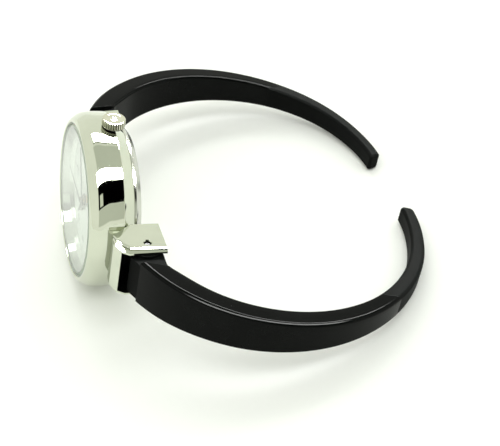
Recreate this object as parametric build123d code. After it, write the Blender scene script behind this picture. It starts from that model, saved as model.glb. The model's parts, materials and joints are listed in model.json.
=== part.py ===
from build123d import *
import os
from math import sin, cos, tan, atan, atan2, radians, degrees, pi, sqrt, hypot

# Cuff watch: a round case of 28 mm with two sprung arms that close round a wrist.
#
# Two working frames are used before the whole watch is laid down in its rest pose.
# Arm frame:   X from the crystal's rim plane towards the wrist, Y towards 12 o'clock,
#              Z towards 3 o'clock (the crown).
# Dial frame:  x towards 12 o'clock, y towards 3 o'clock (the crown), z from the crystal's
#              rim plane towards the wrist. It is the arm frame with its axes renamed.
# Part frame:  +Z up from the floor, +Y towards 12 o'clock, +X from the dial to the opening
#              between the arm tips. The watch lies on its 9 o'clock side and on both tips,
#              so its axis leans by a few degrees.

# ------------------------------------------------------------------ driving dimensions (mm)
CASE_R = 13.95            # largest radius of the case barrel
CASE_REAR = 7.10          # rear face of the case body
BORE_R = 11.05            # bore of the case, open to the rear
CRYSTAL_R = 12.02
CRYSTAL_T = 1.22
CRYSTAL_SEAT_R = 12.28    # bore that holds crystal and gasket
LEDGE_Z = 2.75            # depth of the ledge that carries the inner ring
DIAL_R = 10.90
DIAL_Z0, DIAL_Z1 = 3.15, 3.50
BACK_R = 11.92            # case back flange
BACK_Z = 8.40             # rearmost face of the case back

LUG_Z = 4.60              # half width of the lug hoods
SLOT_Z = 3.65             # half width of the space between the hood plates
PIN_X, PIN_Y = 7.75, 17.16
PIN_R = 0.50
PIN_HOLE_R = 0.53
ARM_BORE_R = 0.55
KNUCKLE_R = 2.00
POCKET_R = 3.15           # space round the pin between the hood plates
KNUCKLE_Z = 3.50
NECK_Z = 3.00             # top of the neck between knuckle and blade
NECK_LOW = 3.50           # and its underside
ROOT_LINE = [(4.60, 20.11), (12.60, 22.03)]   # the full arm section starts beyond this line
OPEN_DEG = 22.0           # how far each arm opens

CROWN_Z = 5.07            # depth of the crown axis
CROWN_R = 1.80
CROWN_Y0, CROWN_Y1 = 14.02, 15.32
CROWN_FLUTES = 30
CROWN_PULL = 0.80

MOVEMENT_R = 9.20
PLATE_Z0, PLATE_Z1 = 3.55, 4.60
BRIDGE_Z0, BRIDGE_Z1 = 6.25, 6.65
BATTERY_R, BATTERY_T = 2.90, 2.15

# Arm in plan, from the tip end to the lug end: outer curve, inner curve, half width.
ARM_OUT = [(55.73, 2.86), (55.81, 9.29), (54.58, 15.65), (52.06, 21.58), (48.32, 26.71),
           (43.31, 31.00), (37.59, 33.88), (31.18, 35.30), (24.70, 34.97), (18.66, 33.06),
           (13.05, 29.47), (8.59, 24.82), (5.45, 19.27), (5.05, 18.35)]
ARM_IN = [(53.67, 3.06), (53.65, 9.10), (52.41, 14.99), (49.99, 20.41), (46.46, 24.98),
          (41.80, 28.70), (36.62, 31.04), (30.94, 32.08), (25.31, 31.68), (20.13, 29.94),
          (15.28, 26.76), (11.38, 22.66), (10.30, 21.10), (10.15, 19.60), (10.15, 17.60)]
ARM_HALF = [(2.0, 4.20), (5.54, 3.94), (8.86, 3.65), (13.3, 3.33), (18.84, 3.03), (24.78, 2.74),
            (31.15, 2.42), (37.49, 2.11), (43.16, 1.85), (48.14, 1.66), (51.83, 1.50),
            (54.34, 1.37), (57.0, 1.22)]
ARM_DROP = 0.42           # the lower side runs this much wider than the upper
TIP_OUT = (55.87, 7.77)
TIP_IN = (54.10, 7.20)
ARM_EDGE = 0.42           # bevel of the arm's edges

# Case barrel in section: radius, depth.
BARREL = [(12.62, 0.02), (12.95, 0.22), (13.27, 0.60), (13.60, 1.10), (13.82, 1.70),
          (13.93, 2.40), (13.95, 3.20), (13.94, 4.20), (13.90, 5.12)]

# Hands: clockwise angle from 12 o'clock, length.
SECOND_DEG, SECOND_L = 1.5, 9.0
MINUTE_DEG, MINUTE_L = 60.0, 8.3
HOUR_DEG, HOUR_L = 305.0, 5.6

# Train: teeth and modules. Seconds wheel in the middle.
M_FOURTH, N_FOURTH = 0.085, 48
N_FIFTH_P = 8
M_FIFTH, N_FIFTH, N_ROTOR_P = 0.075, 40, 8
N_FOURTH_P, N_THIRD = 8, 60
M_CENTRE, N_THIRD_P, N_CENTRE = 0.08, 8, 64
M_THIRD = M_CENTRE * (N_THIRD_P + N_CENTRE) / (N_FOURTH_P + N_THIRD)
M_CANNON, N_CANNON, N_MINUTE = 0.09, 12, 36
N_MINUTE_P, N_HOUR = 10, 40
M_HOUR = M_CANNON * (N_CANNON + N_MINUTE) / (N_MINUTE_P + N_HOUR)
N_SETTING = 20

os.makedirs("parts", exist_ok=True)


# ------------------------------------------------------------------ small helpers
def polar(r, deg, c=(0.0, 0.0)):
    return (c[0] + r * cos(radians(deg)), c[1] + r * sin(radians(deg)))


def disc(r, z0, z1, c=(0.0, 0.0)):
    return Pos(c[0], c[1], (z0 + z1) / 2) * Cylinder(r, z1 - z0)


def ring(ro, ri, z0, z1, c=(0.0, 0.0)):
    m = (z1 - z0)
    return disc(ro, z0, z1, c) - Pos(c[0], c[1], (z0 + z1) / 2) * Cylinder(ri, m * 1.5 + 0.2)


def prism(pts, z0, z1):
    """Straight prism on a closed plan outline."""
    f = make_face(Polyline(*[(p[0], p[1]) for p in pts], close=True))
    return Pos(0, 0, z0) * extrude(f, amount=z1 - z0)


def lathe(pts):
    """Turned body: list of (radius, depth), turned about the z axis."""
    f = make_face(Polyline(*[(p[0], 0, p[1]) for p in pts], close=True))
    return revolve(f, Axis.Z)


def block(x0, x1, y0, y1, z0, z1):
    return Pos((x0 + x1) / 2, (y0 + y1) / 2, (z0 + z1) / 2) * Box(x1 - x0, y1 - y0, z1 - z0)


def bar(p, q, w, z0, z1, ends=True):
    """Flat link from p to q with round ends."""
    L = hypot(q[0] - p[0], q[1] - p[1])
    a = degrees(atan2(q[1] - p[1], q[0] - p[0]))
    s = Pos((p[0] + q[0]) / 2, (p[1] + q[1]) / 2, (z0 + z1) / 2) * Rot(0, 0, a) * Box(L, w, z1 - z0)
    if ends:
        s = s + disc(w / 2, z0, z1, p) + disc(w / 2, z0, z1, q)
    return s


def gear(m, n, z0, z1, c=(0.0, 0.0), phase=0.0):
    """Toothed disc with one tooth centred on the angle phase (degrees)."""
    rp, rt, rr = m * n / 2, m * (n / 2 + 0.85), m * (n / 2 - 1.15)
    p = 360.0 / n
    pts = []
    for k in range(n):
        a = phase + k * p
        for r, d in ((rr, -0.30), (rp, -0.225), (rt, -0.10), (rt, 0.10), (rp, 0.225), (rr, 0.30)):
            pts.append(polar(r, a + d * p, c))
    return prism(pts, z0, z1)


def along_y(s, z=CROWN_Z, x=0.0):
    """Turn a body built along z into one that runs along +y through the crown axis."""
    return Pos(x, 0, z) * Rot(-90, 0, 0) * s


# ------------------------------------------------------------------ frames
DIAL_TO_ARM = Plane(origin=(0, 0, 0), x_dir=(0, 1, 0), z_dir=(1, 0, 0)).location


def lean_angle():
    """Lean at which the case's 9 o'clock side and the tips' lower edges share one floor."""
    xt = 55.86
    ht = 1.315 + ARM_DROP
    f = ARM_EDGE
    pts = BARREL
    lo, hi = 0.0, 0.6
    for _ in range(60):
        a = (lo + hi) / 2
        case = max(sin(a) * z + cos(a) * r for r, z in pts)
        tip = sin(a) * (xt - f) + cos(a) * ht
        if case > tip:
            lo = a
        else:
            hi = a
    return (lo + hi) / 2


A = lean_angle()
CA, SA = cos(A), sin(A)

# ------------------------------------------------------------------ case body (arm frame)
def barrel():
    outer = Spline(*[(r, 0, z) for r, z in BARREL])
    pts = [(BARREL[-1][0], 0, BARREL[-1][1]), (12.10, 0, 6.96), (11.98, 0, CASE_REAR),
           (BORE_R, 0, CASE_REAR), (BORE_R, 0, LEDGE_Z), (CRYSTAL_SEAT_R, 0, LEDGE_Z),
           (CRYSTAL_SEAT_R, 0, 0.10), (12.36, 0, 0.02), (BARREL[0][0], 0, BARREL[0][1])]
    f = make_face([outer, Polyline(*pts)])
    return revolve(f, Axis.Z)


HOOD_FOOT = [(2.93, 14.60), (2.85, 16.20), (3.55, 18.05), (4.75, 18.85), (10.55, 18.80), (10.42, 12.70),
             (7.30, 12.35), (5.20, 12.60), (3.40, 13.20)]
# the plate above the foot, as rings of seven points: lower bevel, small step, upper bevel, top
HOOD_LOW = [(2.90, 15.30), (3.05, 16.70), (3.70, 18.15), (4.80, 18.84), (10.54, 18.78), (10.40, 12.72), (6.00, 12.56)]
HOOD_STEP = [(2.98, 15.12), (3.32, 16.28), (4.00, 17.55), (4.90, 18.28), (10.50, 18.58), (10.38, 12.74), (6.01, 12.60)]
HOOD_TOP = [(3.02, 14.98), (3.75, 15.85), (4.50, 16.78), (5.22, 17.62), (10.33, 18.36), (10.27, 12.92), (6.05, 12.78)]


def plane_face(pts, z):
    return Pos(0, 0, z) * make_face(Polyline(*pts, close=True))


def hood(sign):
    """One lug: solid towards the case, forked round the arm's end, with broad bevels on both plates."""
    h = prism(HOOD_FOOT, -3.95, 3.95)
    cap = prism(HOOD_LOW, 3.90, 3.98) + loft([plane_face(HOOD_LOW, 3.98), plane_face(HOOD_STEP, 4.13)], ruled=True)
    cap = cap + prism(HOOD_STEP, 4.13, 4.24)
    cap = cap + loft([plane_face(HOOD_STEP, 4.24), plane_face(HOOD_TOP, LUG_Z)], ruled=True)
    h = h + cap + mirror(cap, Plane.XY)
    # space for the arm between the plates: round the pin and open to the outside and rear
    cut = disc(POCKET_R, -SLOT_Z, SLOT_Z, (PIN_X, PIN_Y))
    cut = cut + prism([(4.70, 16.30), (3.78, 17.30), (3.72, 18.40), (3.72, 19.50), (5.60, 21.00), (12.50, 21.00),
                       (12.50, 15.40), (8.15, 15.40)], -SLOT_Z, SLOT_Z)
    h = h - cut
    # fan slot for the spring's fixed leg, towards the case
    a0, a1 = 256.0, 262.0 + OPEN_DEG + 8.0
    fan = [polar(1.2, a0, (PIN_X, PIN_Y))] + [polar(4.08, a0 + (a1 - a0) * i / 6, (PIN_X, PIN_Y)) for i in range(7)] + [
        polar(1.2, a1, (PIN_X, PIN_Y))]
    h = h - prism(fan, -1.18, -0.62)
    h = h - disc(PIN_HOLE_R, -LUG_Z - 1, LUG_Z + 1, (PIN_X, PIN_Y))
    if sign < 0:
        h = mirror(h, Plane.XZ)
    return h


case = DIAL_TO_ARM * barrel()
case = case + hood(1) + hood(-1)
inside = disc(BORE_R, LEDGE_Z + 0.001, CASE_REAR + 6.0) + disc(CRYSTAL_SEAT_R, -1.0, LEDGE_Z)
case = case - DIAL_TO_ARM * inside
# hole for the crown tube
case = case - DIAL_TO_ARM * along_y(disc(0.98, 9.0, 16.0))

# ------------------------------------------------------------------ arms and hinges (arm frame)
def arm_blade():
    outer = Spline(*ARM_OUT)
    inner = Spline(*ARM_IN)
    f = make_face([outer, Line(ARM_OUT[-1], ARM_IN[-1]), inner, Line(ARM_IN[0], ARM_OUT[0])])
    s = Pos(0, 0, -6) * extrude(f, amount=12)
    # taper of the width, seen from the 12 o'clock side
    side = make_face([Spline(*[(x, 0, h) for x, h in ARM_HALF]),
                      Line((57.0, 0, 1.22), (57.0, 0, -1.22 - ARM_DROP)),
                      Spline(*[(x, 0, -h - ARM_DROP) for x, h in reversed(ARM_HALF)]),
                      Line((2.0, 0, -4.20 - ARM_DROP), (2.0, 0, 4.20))])
    w = extrude(side, amount=60, both=True)
    s = s & w
    # square end at the tip
    d = (TIP_IN[0] - TIP_OUT[0], TIP_IN[1] - TIP_OUT[1])
    p = (TIP_OUT[0] - d[0] * 6, TIP_OUT[1] - d[1] * 6)
    q = (TIP_OUT[0] + d[0] * 6, TIP_OUT[1] + d[1] * 6)
    s = s - prism([p, q, (q[0], -9), (p[0], -9)], -7, 7)
    s = s.solids().sort_by(SortBy.VOLUME)[-1]
    s = chamfer(s.edges(), ARM_EDGE)
    # from the root line to the knuckle the arm narrows to a neck between the hood plates
    low = [ROOT_LINE[0], ROOT_LINE[1], (30, 10), (-10, 10)]
    return s - prism(low, NECK_Z, 7) - prism(low, -7, -NECK_LOW)


def arm():
    s = arm_blade()
    k = (PIN_X, PIN_Y)
    s = s + disc(KNUCKLE_R, -KNUCKLE_Z, KNUCKLE_Z, k)
    # gap between the two ears for the spring, and its leg's seat in the neck
    s = s - disc(KNUCKLE_R + 0.12, -1.30, 1.30, k)
    s = s - bar(k, polar(3.9, 78, k), 0.50, -1.30, -0.50)
    s = s - disc(ARM_BORE_R, -6, 6, k)
    s = s.solids().sort_by(SortBy.VOLUME)[-1]
    return s


def spring():
    """Torsion spring round the pin: a close coil with two legs."""
    k = (PIN_X, PIN_Y)
    ro, ri = 1.30, 0.72
    s = None
    n = 6
    t = 0.30
    for i in range(n):
        z = -1.08 + i * (2.16 - t) / (n - 1)
        one = ring(ro, ri, z, z + t, k)
        s = one if s is None else s + one
        if i < n - 1:
            s = s + ring(ro - 0.08, ri + 0.08, z + t - 0.02, z + t + (2.16 - t) / (n - 1) - t + 0.02, k)
    leg = bar(polar(1.0, 78, k), polar(3.6, 78, k), 0.30, -1.05, -0.75)
    leg2 = bar(polar(1.0, 262, k), polar(3.7, 262, k), 0.30, -1.05, -0.75)
    return s + leg + leg2


arm_12 = arm()
arm_6 = mirror(arm_12, Plane.XZ)
spring_12 = spring()
spring_6 = mirror(spring_12, Plane.XZ)


def pin(sign):
    p = Pos(PIN_X, sign * PIN_Y, 0) * Cylinder(PIN_R, 2 * LUG_Z - 0.80)
    return chamfer(p.edges().filter_by(GeomType.CIRCLE), 0.10)


hinge_pin_12 = pin(1)
hinge_pin_6 = pin(-1)

# ------------------------------------------------------------------ crystal, ring, dial, hands
crystal = disc(CRYSTAL_R, 0.0, CRYSTAL_T)
crystal = lathe([(0, 0), (CRYSTAL_R - 0.36, 0), (CRYSTAL_R, 0.40), (CRYSTAL_R, CRYSTAL_T - 0.12),
                 (CRYSTAL_R - 0.12, CRYSTAL_T), (0, CRYSTAL_T)])
crystal_gasket = ring(CRYSTAL_SEAT_R - 0.02, CRYSTAL_R + 0.02, 0.12, CRYSTAL_T)
inner_ring = lathe([(12.20, 1.24), (12.20, 2.73), (10.98, 2.73), (10.98, 3.13), (10.55, 3.13), (11.80, 1.24)])

FEET = [polar(8.45, 38), polar(8.45, 218 - 46)]
dial = disc(DIAL_R, DIAL_Z0, DIAL_Z1) - disc(0.80, 3.0, 3.7)
for p in FEET:
    dial = dial + disc(0.30, DIAL_Z1 - 0.05, 4.20, p)


def blade_hand(deg, length, tail, w_root, w_tip, z0, z1, boss, bore, bz0, bz1):
    pts = [(-tail, -w_root * 0.32), (0, -w_root * 0.5), (length * 0.55, -w_root * 0.42), (length, -w_tip * 0.5),
           (length, w_tip * 0.5), (length * 0.55, w_root * 0.42), (0, w_root * 0.5), (-tail, w_root * 0.32)]
    h = prism(pts, z0, z1) + disc(boss, bz0, bz1)
    h = h - disc(bore, bz0 - 1, bz1 + 1)
    return Rot(0, 0, deg) * h


second_hand = blade_hand(SECOND_DEG, SECOND_L, 2.6, 0.30, 0.14, 1.88, 2.00, 0.36, 0.11, 1.84, 2.12)
minute_hand = blade_hand(MINUTE_DEG, MINUTE_L, 0.9, 0.80, 0.26, 2.24, 2.36, 0.62, 0.335, 2.22, 2.42)
hour_hand = blade_hand(HOUR_DEG, HOUR_L, 0.9, 1.00, 0.34, 2.62, 2.74, 0.95, 0.635, 2.60, 2.82)

# ------------------------------------------------------------------ train (dial frame)
C0 = (0.0, 0.0)
D_THIRD = M_CENTRE * (N_THIRD_P + N_CENTRE) / 2
D_FIFTH = M_FOURTH * (N_FOURTH + N_FIFTH_P) / 2
D_ROTOR = M_FIFTH * (N_FIFTH + N_ROTOR_P) / 2
D_MINUTE = M_CANNON * (N_CANNON + N_MINUTE) / 2
D_SET = M_CANNON * (N_MINUTE + N_SETTING) / 2
A_THIRD, A_FIFTH, A_MINUTE = 30.0, -45.0, 60.0
P_THIRD = polar(D_THIRD, A_THIRD)
P_FIFTH = polar(D_FIFTH, A_FIFTH)
P_ROTOR = polar(D_FIFTH + D_ROTOR, A_FIFTH)
P_MINUTE = polar(D_MINUTE, A_MINUTE)
P_SET = (0.0, P_MINUTE[1] + sqrt(D_SET ** 2 - P_MINUTE[0] ** 2))
A_SET = degrees(atan2(P_SET[1] - P_MINUTE[1], P_SET[0] - P_MINUTE[0]))


def gap_phase(direction, n):
    """Phase that puts a tooth gap on the given direction."""
    return direction + 180.0 / n


fourth_wheel = (gear(M_FOURTH, N_FOURTH, 5.76, 5.90, C0, A_FIFTH)
                + gear(M_THIRD, N_FOURTH_P, 5.20, 5.78, C0, A_THIRD)
                + disc(0.10, 1.86, 6.50) + disc(0.22, 5.78, 6.12))
fifth_wheel = (gear(M_FIFTH, N_FIFTH, 5.52, 5.64, P_FIFTH, A_FIFTH)
               + gear(M_FOURTH, N_FIFTH_P, 5.62, 6.02, P_FIFTH, gap_phase(A_FIFTH + 180, N_FIFTH_P))
               + disc(0.10, 4.36, 6.50, P_FIFTH))
rotor = (gear(M_FIFTH, N_ROTOR_P, 5.42, 5.76, P_ROTOR, gap_phase(A_FIFTH + 180, N_ROTOR_P))
         + disc(0.70, 4.76, 5.14, P_ROTOR) + disc(0.10, 4.36, 6.50, P_ROTOR) + disc(0.2, 5.10, 5.44, P_ROTOR))
third_wheel = (gear(M_THIRD, N_THIRD, 5.32, 5.44, P_THIRD, gap_phase(A_THIRD + 180, N_THIRD))
               + gear(M_CENTRE, N_THIRD_P, 4.72, 5.34, P_THIRD, A_THIRD + 180)
               + disc(0.10, 4.36, 6.50, P_THIRD))
centre_wheel = (gear(M_CENTRE, N_CENTRE, 4.86, 4.98, C0, gap_phase(A_THIRD, N_CENTRE)) + disc(0.62, 4.84, 5.06)
                - disc(0.36, 4.0, 5.5))
cannon_pinion = (gear(M_CANNON, N_CANNON, 3.78, 4.02, C0, A_MINUTE) + disc(0.32, 2.23, 5.10)
                 - disc(0.16, 1.0, 5.5))
minute_wheel = (gear(M_CANNON, N_MINUTE, 3.80, 3.92, P_MINUTE, gap_phase(A_MINUTE + 180, N_MINUTE))
                + gear(M_HOUR, N_MINUTE_P, 3.57, 3.82, P_MINUTE, A_MINUTE + 180) - disc(0.23, 3.0, 4.5, P_MINUTE))
hour_wheel = (gear(M_HOUR, N_HOUR, 3.59, 3.71, C0, gap_phase(A_MINUTE, N_HOUR)) + disc(0.62, 2.61, 3.71)
              - disc(0.37, 2.0, 4.5))
_set_tooth = A_SET + 180.0
# the minute wheel's tooth nearest the line to the setting wheel fixes the setting wheel's phase
_mw = gap_phase(A_MINUTE + 180, N_MINUTE)
_k = round((A_SET - _mw) / (360.0 / N_MINUTE))
_off = (_mw + _k * 360.0 / N_MINUTE) - A_SET
setting_wheel = (gear(M_CANNON, N_SETTING, 3.80, 3.96, P_SET,
                      gap_phase(_set_tooth, N_SETTING) - _off * N_MINUTE / N_SETTING)
                 - disc(0.23, 3.0, 4.5, P_SET))

# ------------------------------------------------------------------ movement frame parts
P_BATT = polar(5.90, 200)
COIL_C = polar(7.00, A_FIFTH)
CU = (cos(radians(A_FIFTH + 90)), sin(radians(A_FIFTH + 90)))
CORE_A = (COIL_C[0] + 4.2 * CU[0], COIL_C[1] + 4.2 * CU[1])
CORE_B = (COIL_C[0] - 4.2 * CU[0], COIL_C[1] - 4.2 * CU[1])
POSTS = [(-1.95, -2.65), (-1.60, 2.78), (5.65, -1.10)]
RD = polar(1.0, 290)
CLAMP = [(P_BATT[0] + 3.55 * RD[0], P_BATT[1] + 3.55 * RD[1]), (P_BATT[0] - 3.55 * RD[0], P_BATT[1] - 3.55 * RD[1])]
P_LEVER = (2.90, 8.15)
P_YOKE = (-2.60, 5.55)

main_plate = disc(MOVEMENT_R, PLATE_Z0, PLATE_Z1)
main_plate = main_plate + block(-1.7, 1.7, 3.60, 8.90, PLATE_Z1 - 0.1, 6.15)
for p in POSTS:
    main_plate = main_plate + disc(0.48, PLATE_Z1 - 0.1, BRIDGE_Z0, p)
for p in CLAMP:
    main_plate = main_plate + disc(0.46, PLATE_Z1 - 0.1, 6.60, p)
main_plate = main_plate + disc(0.20, PLATE_Z1 - 0.1, 5.95, P_LEVER) + disc(0.20, PLATE_Z1 - 0.1, 6.18, P_YOKE)
main_plate = main_plate - disc(2.15, 3.0, 4.05)
main_plate = main_plate - disc(1.90, 3.0, 4.05, P_MINUTE) - disc(1.15, 3.0, 4.05, P_SET)
main_plate = main_plate + disc(0.20, 3.60, 4.10, P_MINUTE) + disc(0.20, 3.60, 4.10, P_SET)
main_plate = main_plate - disc(0.74, 3.0, 4.8)
main_plate = main_plate - disc(BATTERY_R + 0.08, 4.36, 8.0, P_BATT)
for p in (P_THIRD, P_FIFTH, P_ROTOR):
    main_plate = main_plate - disc(0.13, 4.30, 8.0, p)
for p in FEET:
    main_plate = main_plate - disc(0.33, 3.0, 4.30, p)
# stem bearings, clutch window, lever window
main_plate = main_plate - along_y(disc(0.24, 3.0, 5.0)) - along_y(disc(0.43, 4.9, 12.0))
main_plate = main_plate - block(-3.0, 3.0, 4.70, 7.00, 4.25, 7.0)
main_plate = main_plate - block(-0.70, 3.0, 7.20, 9.40, 5.56, 7.0) - block(-0.26, 0.26, 7.20, 9.40, 5.07, 7.0)
main_plate = main_plate + block(-3.0, -2.2, 5.15, 5.95, 4.2, 4.60)
for p in (CORE_A, CORE_B):
    main_plate = main_plate - disc(0.22, 4.0, 8.0, p)
for p in POSTS + CLAMP:
    main_plate = main_plate - disc(0.22, 5.2, 8.0, p)
main_plate = main_plate.solids().sort_by(SortBy.VOLUME)[-1]

bridge = disc(4.20, BRIDGE_Z0, BRIDGE_Z1, (1.60, -0.60))
for p in POSTS:
    bridge = bridge + bar((p[0] * 0.4 + 0.96, p[1] * 0.4 - 0.36), p, 1.50, BRIDGE_Z0, BRIDGE_Z1)
bridge = bridge - disc(BATTERY_R + 0.12, 6.0, 7.0, P_BATT)
for p in (C0, P_THIRD, P_FIFTH, P_ROTOR):
    bridge = bridge - disc(0.13, 6.0, 7.0, p)
for p in POSTS:
    bridge = bridge - disc(0.27, 6.0, 7.0, p)
train_bridge = bridge.solids().sort_by(SortBy.VOLUME)[-1]


def screw(p, z_head, z_end, r=0.20, rh=0.42, hh=0.26):
    s = disc(r, z_end, z_head + 0.01, p) + disc(rh, z_head, z_head + hh, p)
    return s - (Pos(p[0], p[1], z_head + hh) * Box(1.2, 0.12, 0.16))


bridge_screws = [screw(p, BRIDGE_Z1, 5.30) for p in POSTS]
clamp_screws = [screw(p, 6.76, 5.30) for p in CLAMP]
coil_screws = [screw(p, 5.56, 4.10) for p in (CORE_A, CORE_B)]

battery = disc(BATTERY_R, 4.42, 4.42 + BATTERY_T, P_BATT)
battery = fillet(battery.edges().filter_by(GeomType.CIRCLE), 0.18)
battery = battery - ring(2.35, 2.22, 4.30, 4.52, P_BATT)

clamp = bar(CLAMP[0], CLAMP[1], 1.20, 6.62, 6.76)
for p in CLAMP:
    clamp = clamp - disc(0.24, 6.0, 7.0, p)
battery_clamp = clamp

stator = disc(1.38, 4.74, 5.16, P_ROTOR)
stator = stator + bar(P_ROTOR, CORE_A, 1.00, 4.74, 5.16) + bar(P_ROTOR, CORE_B, 1.00, 4.74, 5.16)
stator = stator - disc(0.82, 4.0, 6.0, P_ROTOR)
for p in (CORE_A, CORE_B):
    stator = stator - disc(0.24, 4.0, 6.0, p)

coil_core = bar(CORE_A, CORE_B, 0.90, 5.18, 5.55)
for p in (CORE_A, CORE_B):
    coil_core = coil_core - disc(0.24, 4.0, 6.0, p)


def coil_body(r, l, cz, hole):
    s = Cylinder(r, l)
    s = Pos(COIL_C[0], COIL_C[1], cz) * Rot(0, 0, A_FIFTH + 90) * Rot(0, 90, 0) * s
    if hole:
        s = s - bar(CORE_A, CORE_B, 0.94, 5.15, 5.58)
    return s


coil_winding = coil_body(0.72, 4.9, 5.365, True)
flange_a = Pos(COIL_C[0] + 2.62 * CU[0], COIL_C[1] + 2.62 * CU[1], 5.365) * Rot(0, 0, A_FIFTH + 90) * Box(0.26, 1.60, 1.48)
flange_b = Pos(COIL_C[0] - 2.62 * CU[0], COIL_C[1] - 2.62 * CU[1], 5.365) * Rot(0, 0, A_FIFTH + 90) * Box(0.26, 1.60, 1.48)
coil_bobbin = (flange_a + flange_b) - bar(CORE_A, CORE_B, 0.94, 5.15, 5.58)
# keep the flanges clear of the stator's arms
coil_bobbin = coil_bobbin - bar(P_ROTOR, CORE_A, 1.06, 4.70, 5.19) - bar(P_ROTOR, CORE_B, 1.06, 4.70, 5.19)


def sector(r0, r1, a0, a1, z0, z1, n=8):
    pts = [polar(r0, a0 + (a1 - a0) * i / n) for i in range(n + 1)]
    pts += [polar(r1, a1 - (a1 - a0) * i / n) for i in range(n + 1)]
    return prism(pts, z0, z1)


circuit_board = sector(4.4, 8.9, -117, -86, 4.64, 4.84)
circuit_chip = Pos(*polar(5.4, -102), 5.03) * Rot(0, 0, -102) * Box(1.30, 1.30, 0.34)
circuit_chip = chamfer(circuit_chip.edges().filter_by(Axis.Z), 0.10)
q = polar(7.45, -102)
quartz_can = Pos(q[0], q[1], 5.36) * Rot(0, 0, -102) * Rot(0, 90, 0) * Cylinder(0.50, 2.20)
quartz_can = fillet(quartz_can.edges().filter_by(GeomType.CIRCLE), 0.10)

movement_ring = lathe([(9.28, 3.56), (10.95, 3.56), (10.95, 6.35), (9.95, 6.35), (9.95, 7.45), (9.28, 7.45)])
movement_ring = movement_ring - along_y(disc(0.75, 8.0, 12.0))

# ------------------------------------------------------------------ keyless works and crown
stem = (disc(0.20, 3.85, 4.80) + Pos(0, 0, 5.83) * Box(0.46, 0.46, 2.14) + disc(0.40, 6.85, 14.95)
        - ring(0.60, 0.22, 7.55, 7.97))
stem = along_y(stem)
sliding_pinion = disc(0.72, 5.20, 6.30) - ring(1.0, 0.50, 5.60, 5.92)
teeth = None
for i in range(8):
    c = Rot(0, 0, i * 45) * Pos(0.62, 0, 5.16) * Box(0.5, 0.13, 0.34)
    teeth = c if teeth is None else teeth + c
sliding_pinion = sliding_pinion - teeth
sliding_pinion = along_y(sliding_pinion - Pos(0, 0, 5.7) * Box(0.54, 0.54, 3.0))

lever_peg = (0.0, 7.75)
setting_lever = bar(P_LEVER, lever_peg, 0.62, 5.62, 5.80) + disc(0.14, 5.34, 5.70, lever_peg)
setting_lever = setting_lever + disc(0.42, 5.62, 5.80, P_LEVER) - disc(0.24, 5.0, 6.5, P_LEVER)
yoke_peg = (0.0, 5.76)
yoke = bar(P_YOKE, yoke_peg, 0.55, 5.90, 6.05) + disc(0.10, 5.62, 5.95, yoke_peg)
yoke = yoke + disc(0.42, 5.90, 6.05, P_YOKE) - disc(0.24, 5.0, 6.5, P_YOKE)

crown_tube = along_y(ring(0.95, 0.50, 11.30, 14.60))
crown_seal = along_y(ring(1.24, 0.98, 14.26, 14.58))


def crown_body():
    n = CROWN_FLUTES
    pts = []
    for k in range(n):
        for r, d in ((CROWN_R - 0.15, -0.36), (CROWN_R, -0.16), (CROWN_R, 0.16), (CROWN_R - 0.15, 0.36)):
            pts.append(polar(r, (k + d) * 360.0 / n))
    rim = prism(pts, CROWN_Y0, CROWN_Y1)
    hull = lathe([(0, CROWN_Y0), (CROWN_R - 0.14, CROWN_Y0), (CROWN_R + 0.02, CROWN_Y0 + 0.16),
                  (CROWN_R + 0.02, CROWN_Y1 - 0.14), (CROWN_R - 0.14, CROWN_Y1), (0, CROWN_Y1)])
    rim = rim & hull
    cap = lathe([(0, CROWN_Y1 - 0.1), (CROWN_R - 0.16, CROWN_Y1 - 0.1), (CROWN_R - 0.16, CROWN_Y1 + 0.02),
                 (1.18, CROWN_Y1 + 0.02), (1.12, CROWN_Y1 + 0.04), (1.02, CROWN_Y1 + 0.13), (0.88, CROWN_Y1 + 0.20),
                 (0.70, CROWN_Y1 + 0.25), (0.48, CROWN_Y1 + 0.29), (0.24, CROWN_Y1 + 0.313), (0, CROWN_Y1 + 0.32)])
    c = rim + cap
    c = c - disc(1.26, CROWN_Y0 - 1, CROWN_Y0 + 0.70) - disc(0.41, CROWN_Y0, 14.97)
    return c


crown = along_y(crown_body())

# ------------------------------------------------------------------ case back
case_back = lathe([(0, 7.60), (10.05, 7.60), (10.05, 6.50), (10.92, 6.50), (10.92, 6.72), (10.64, 6.72),
                   (10.64, 7.00), (10.92, 7.00), (10.92, 7.12), (BACK_R, 7.12), (BACK_R, 7.62),
                   (11.05, 8.32), (10.80, 8.39), (10.3, BACK_Z), (0, BACK_Z)])
back_gasket = ring(11.03, 10.66, 6.74, 6.98)

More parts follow.
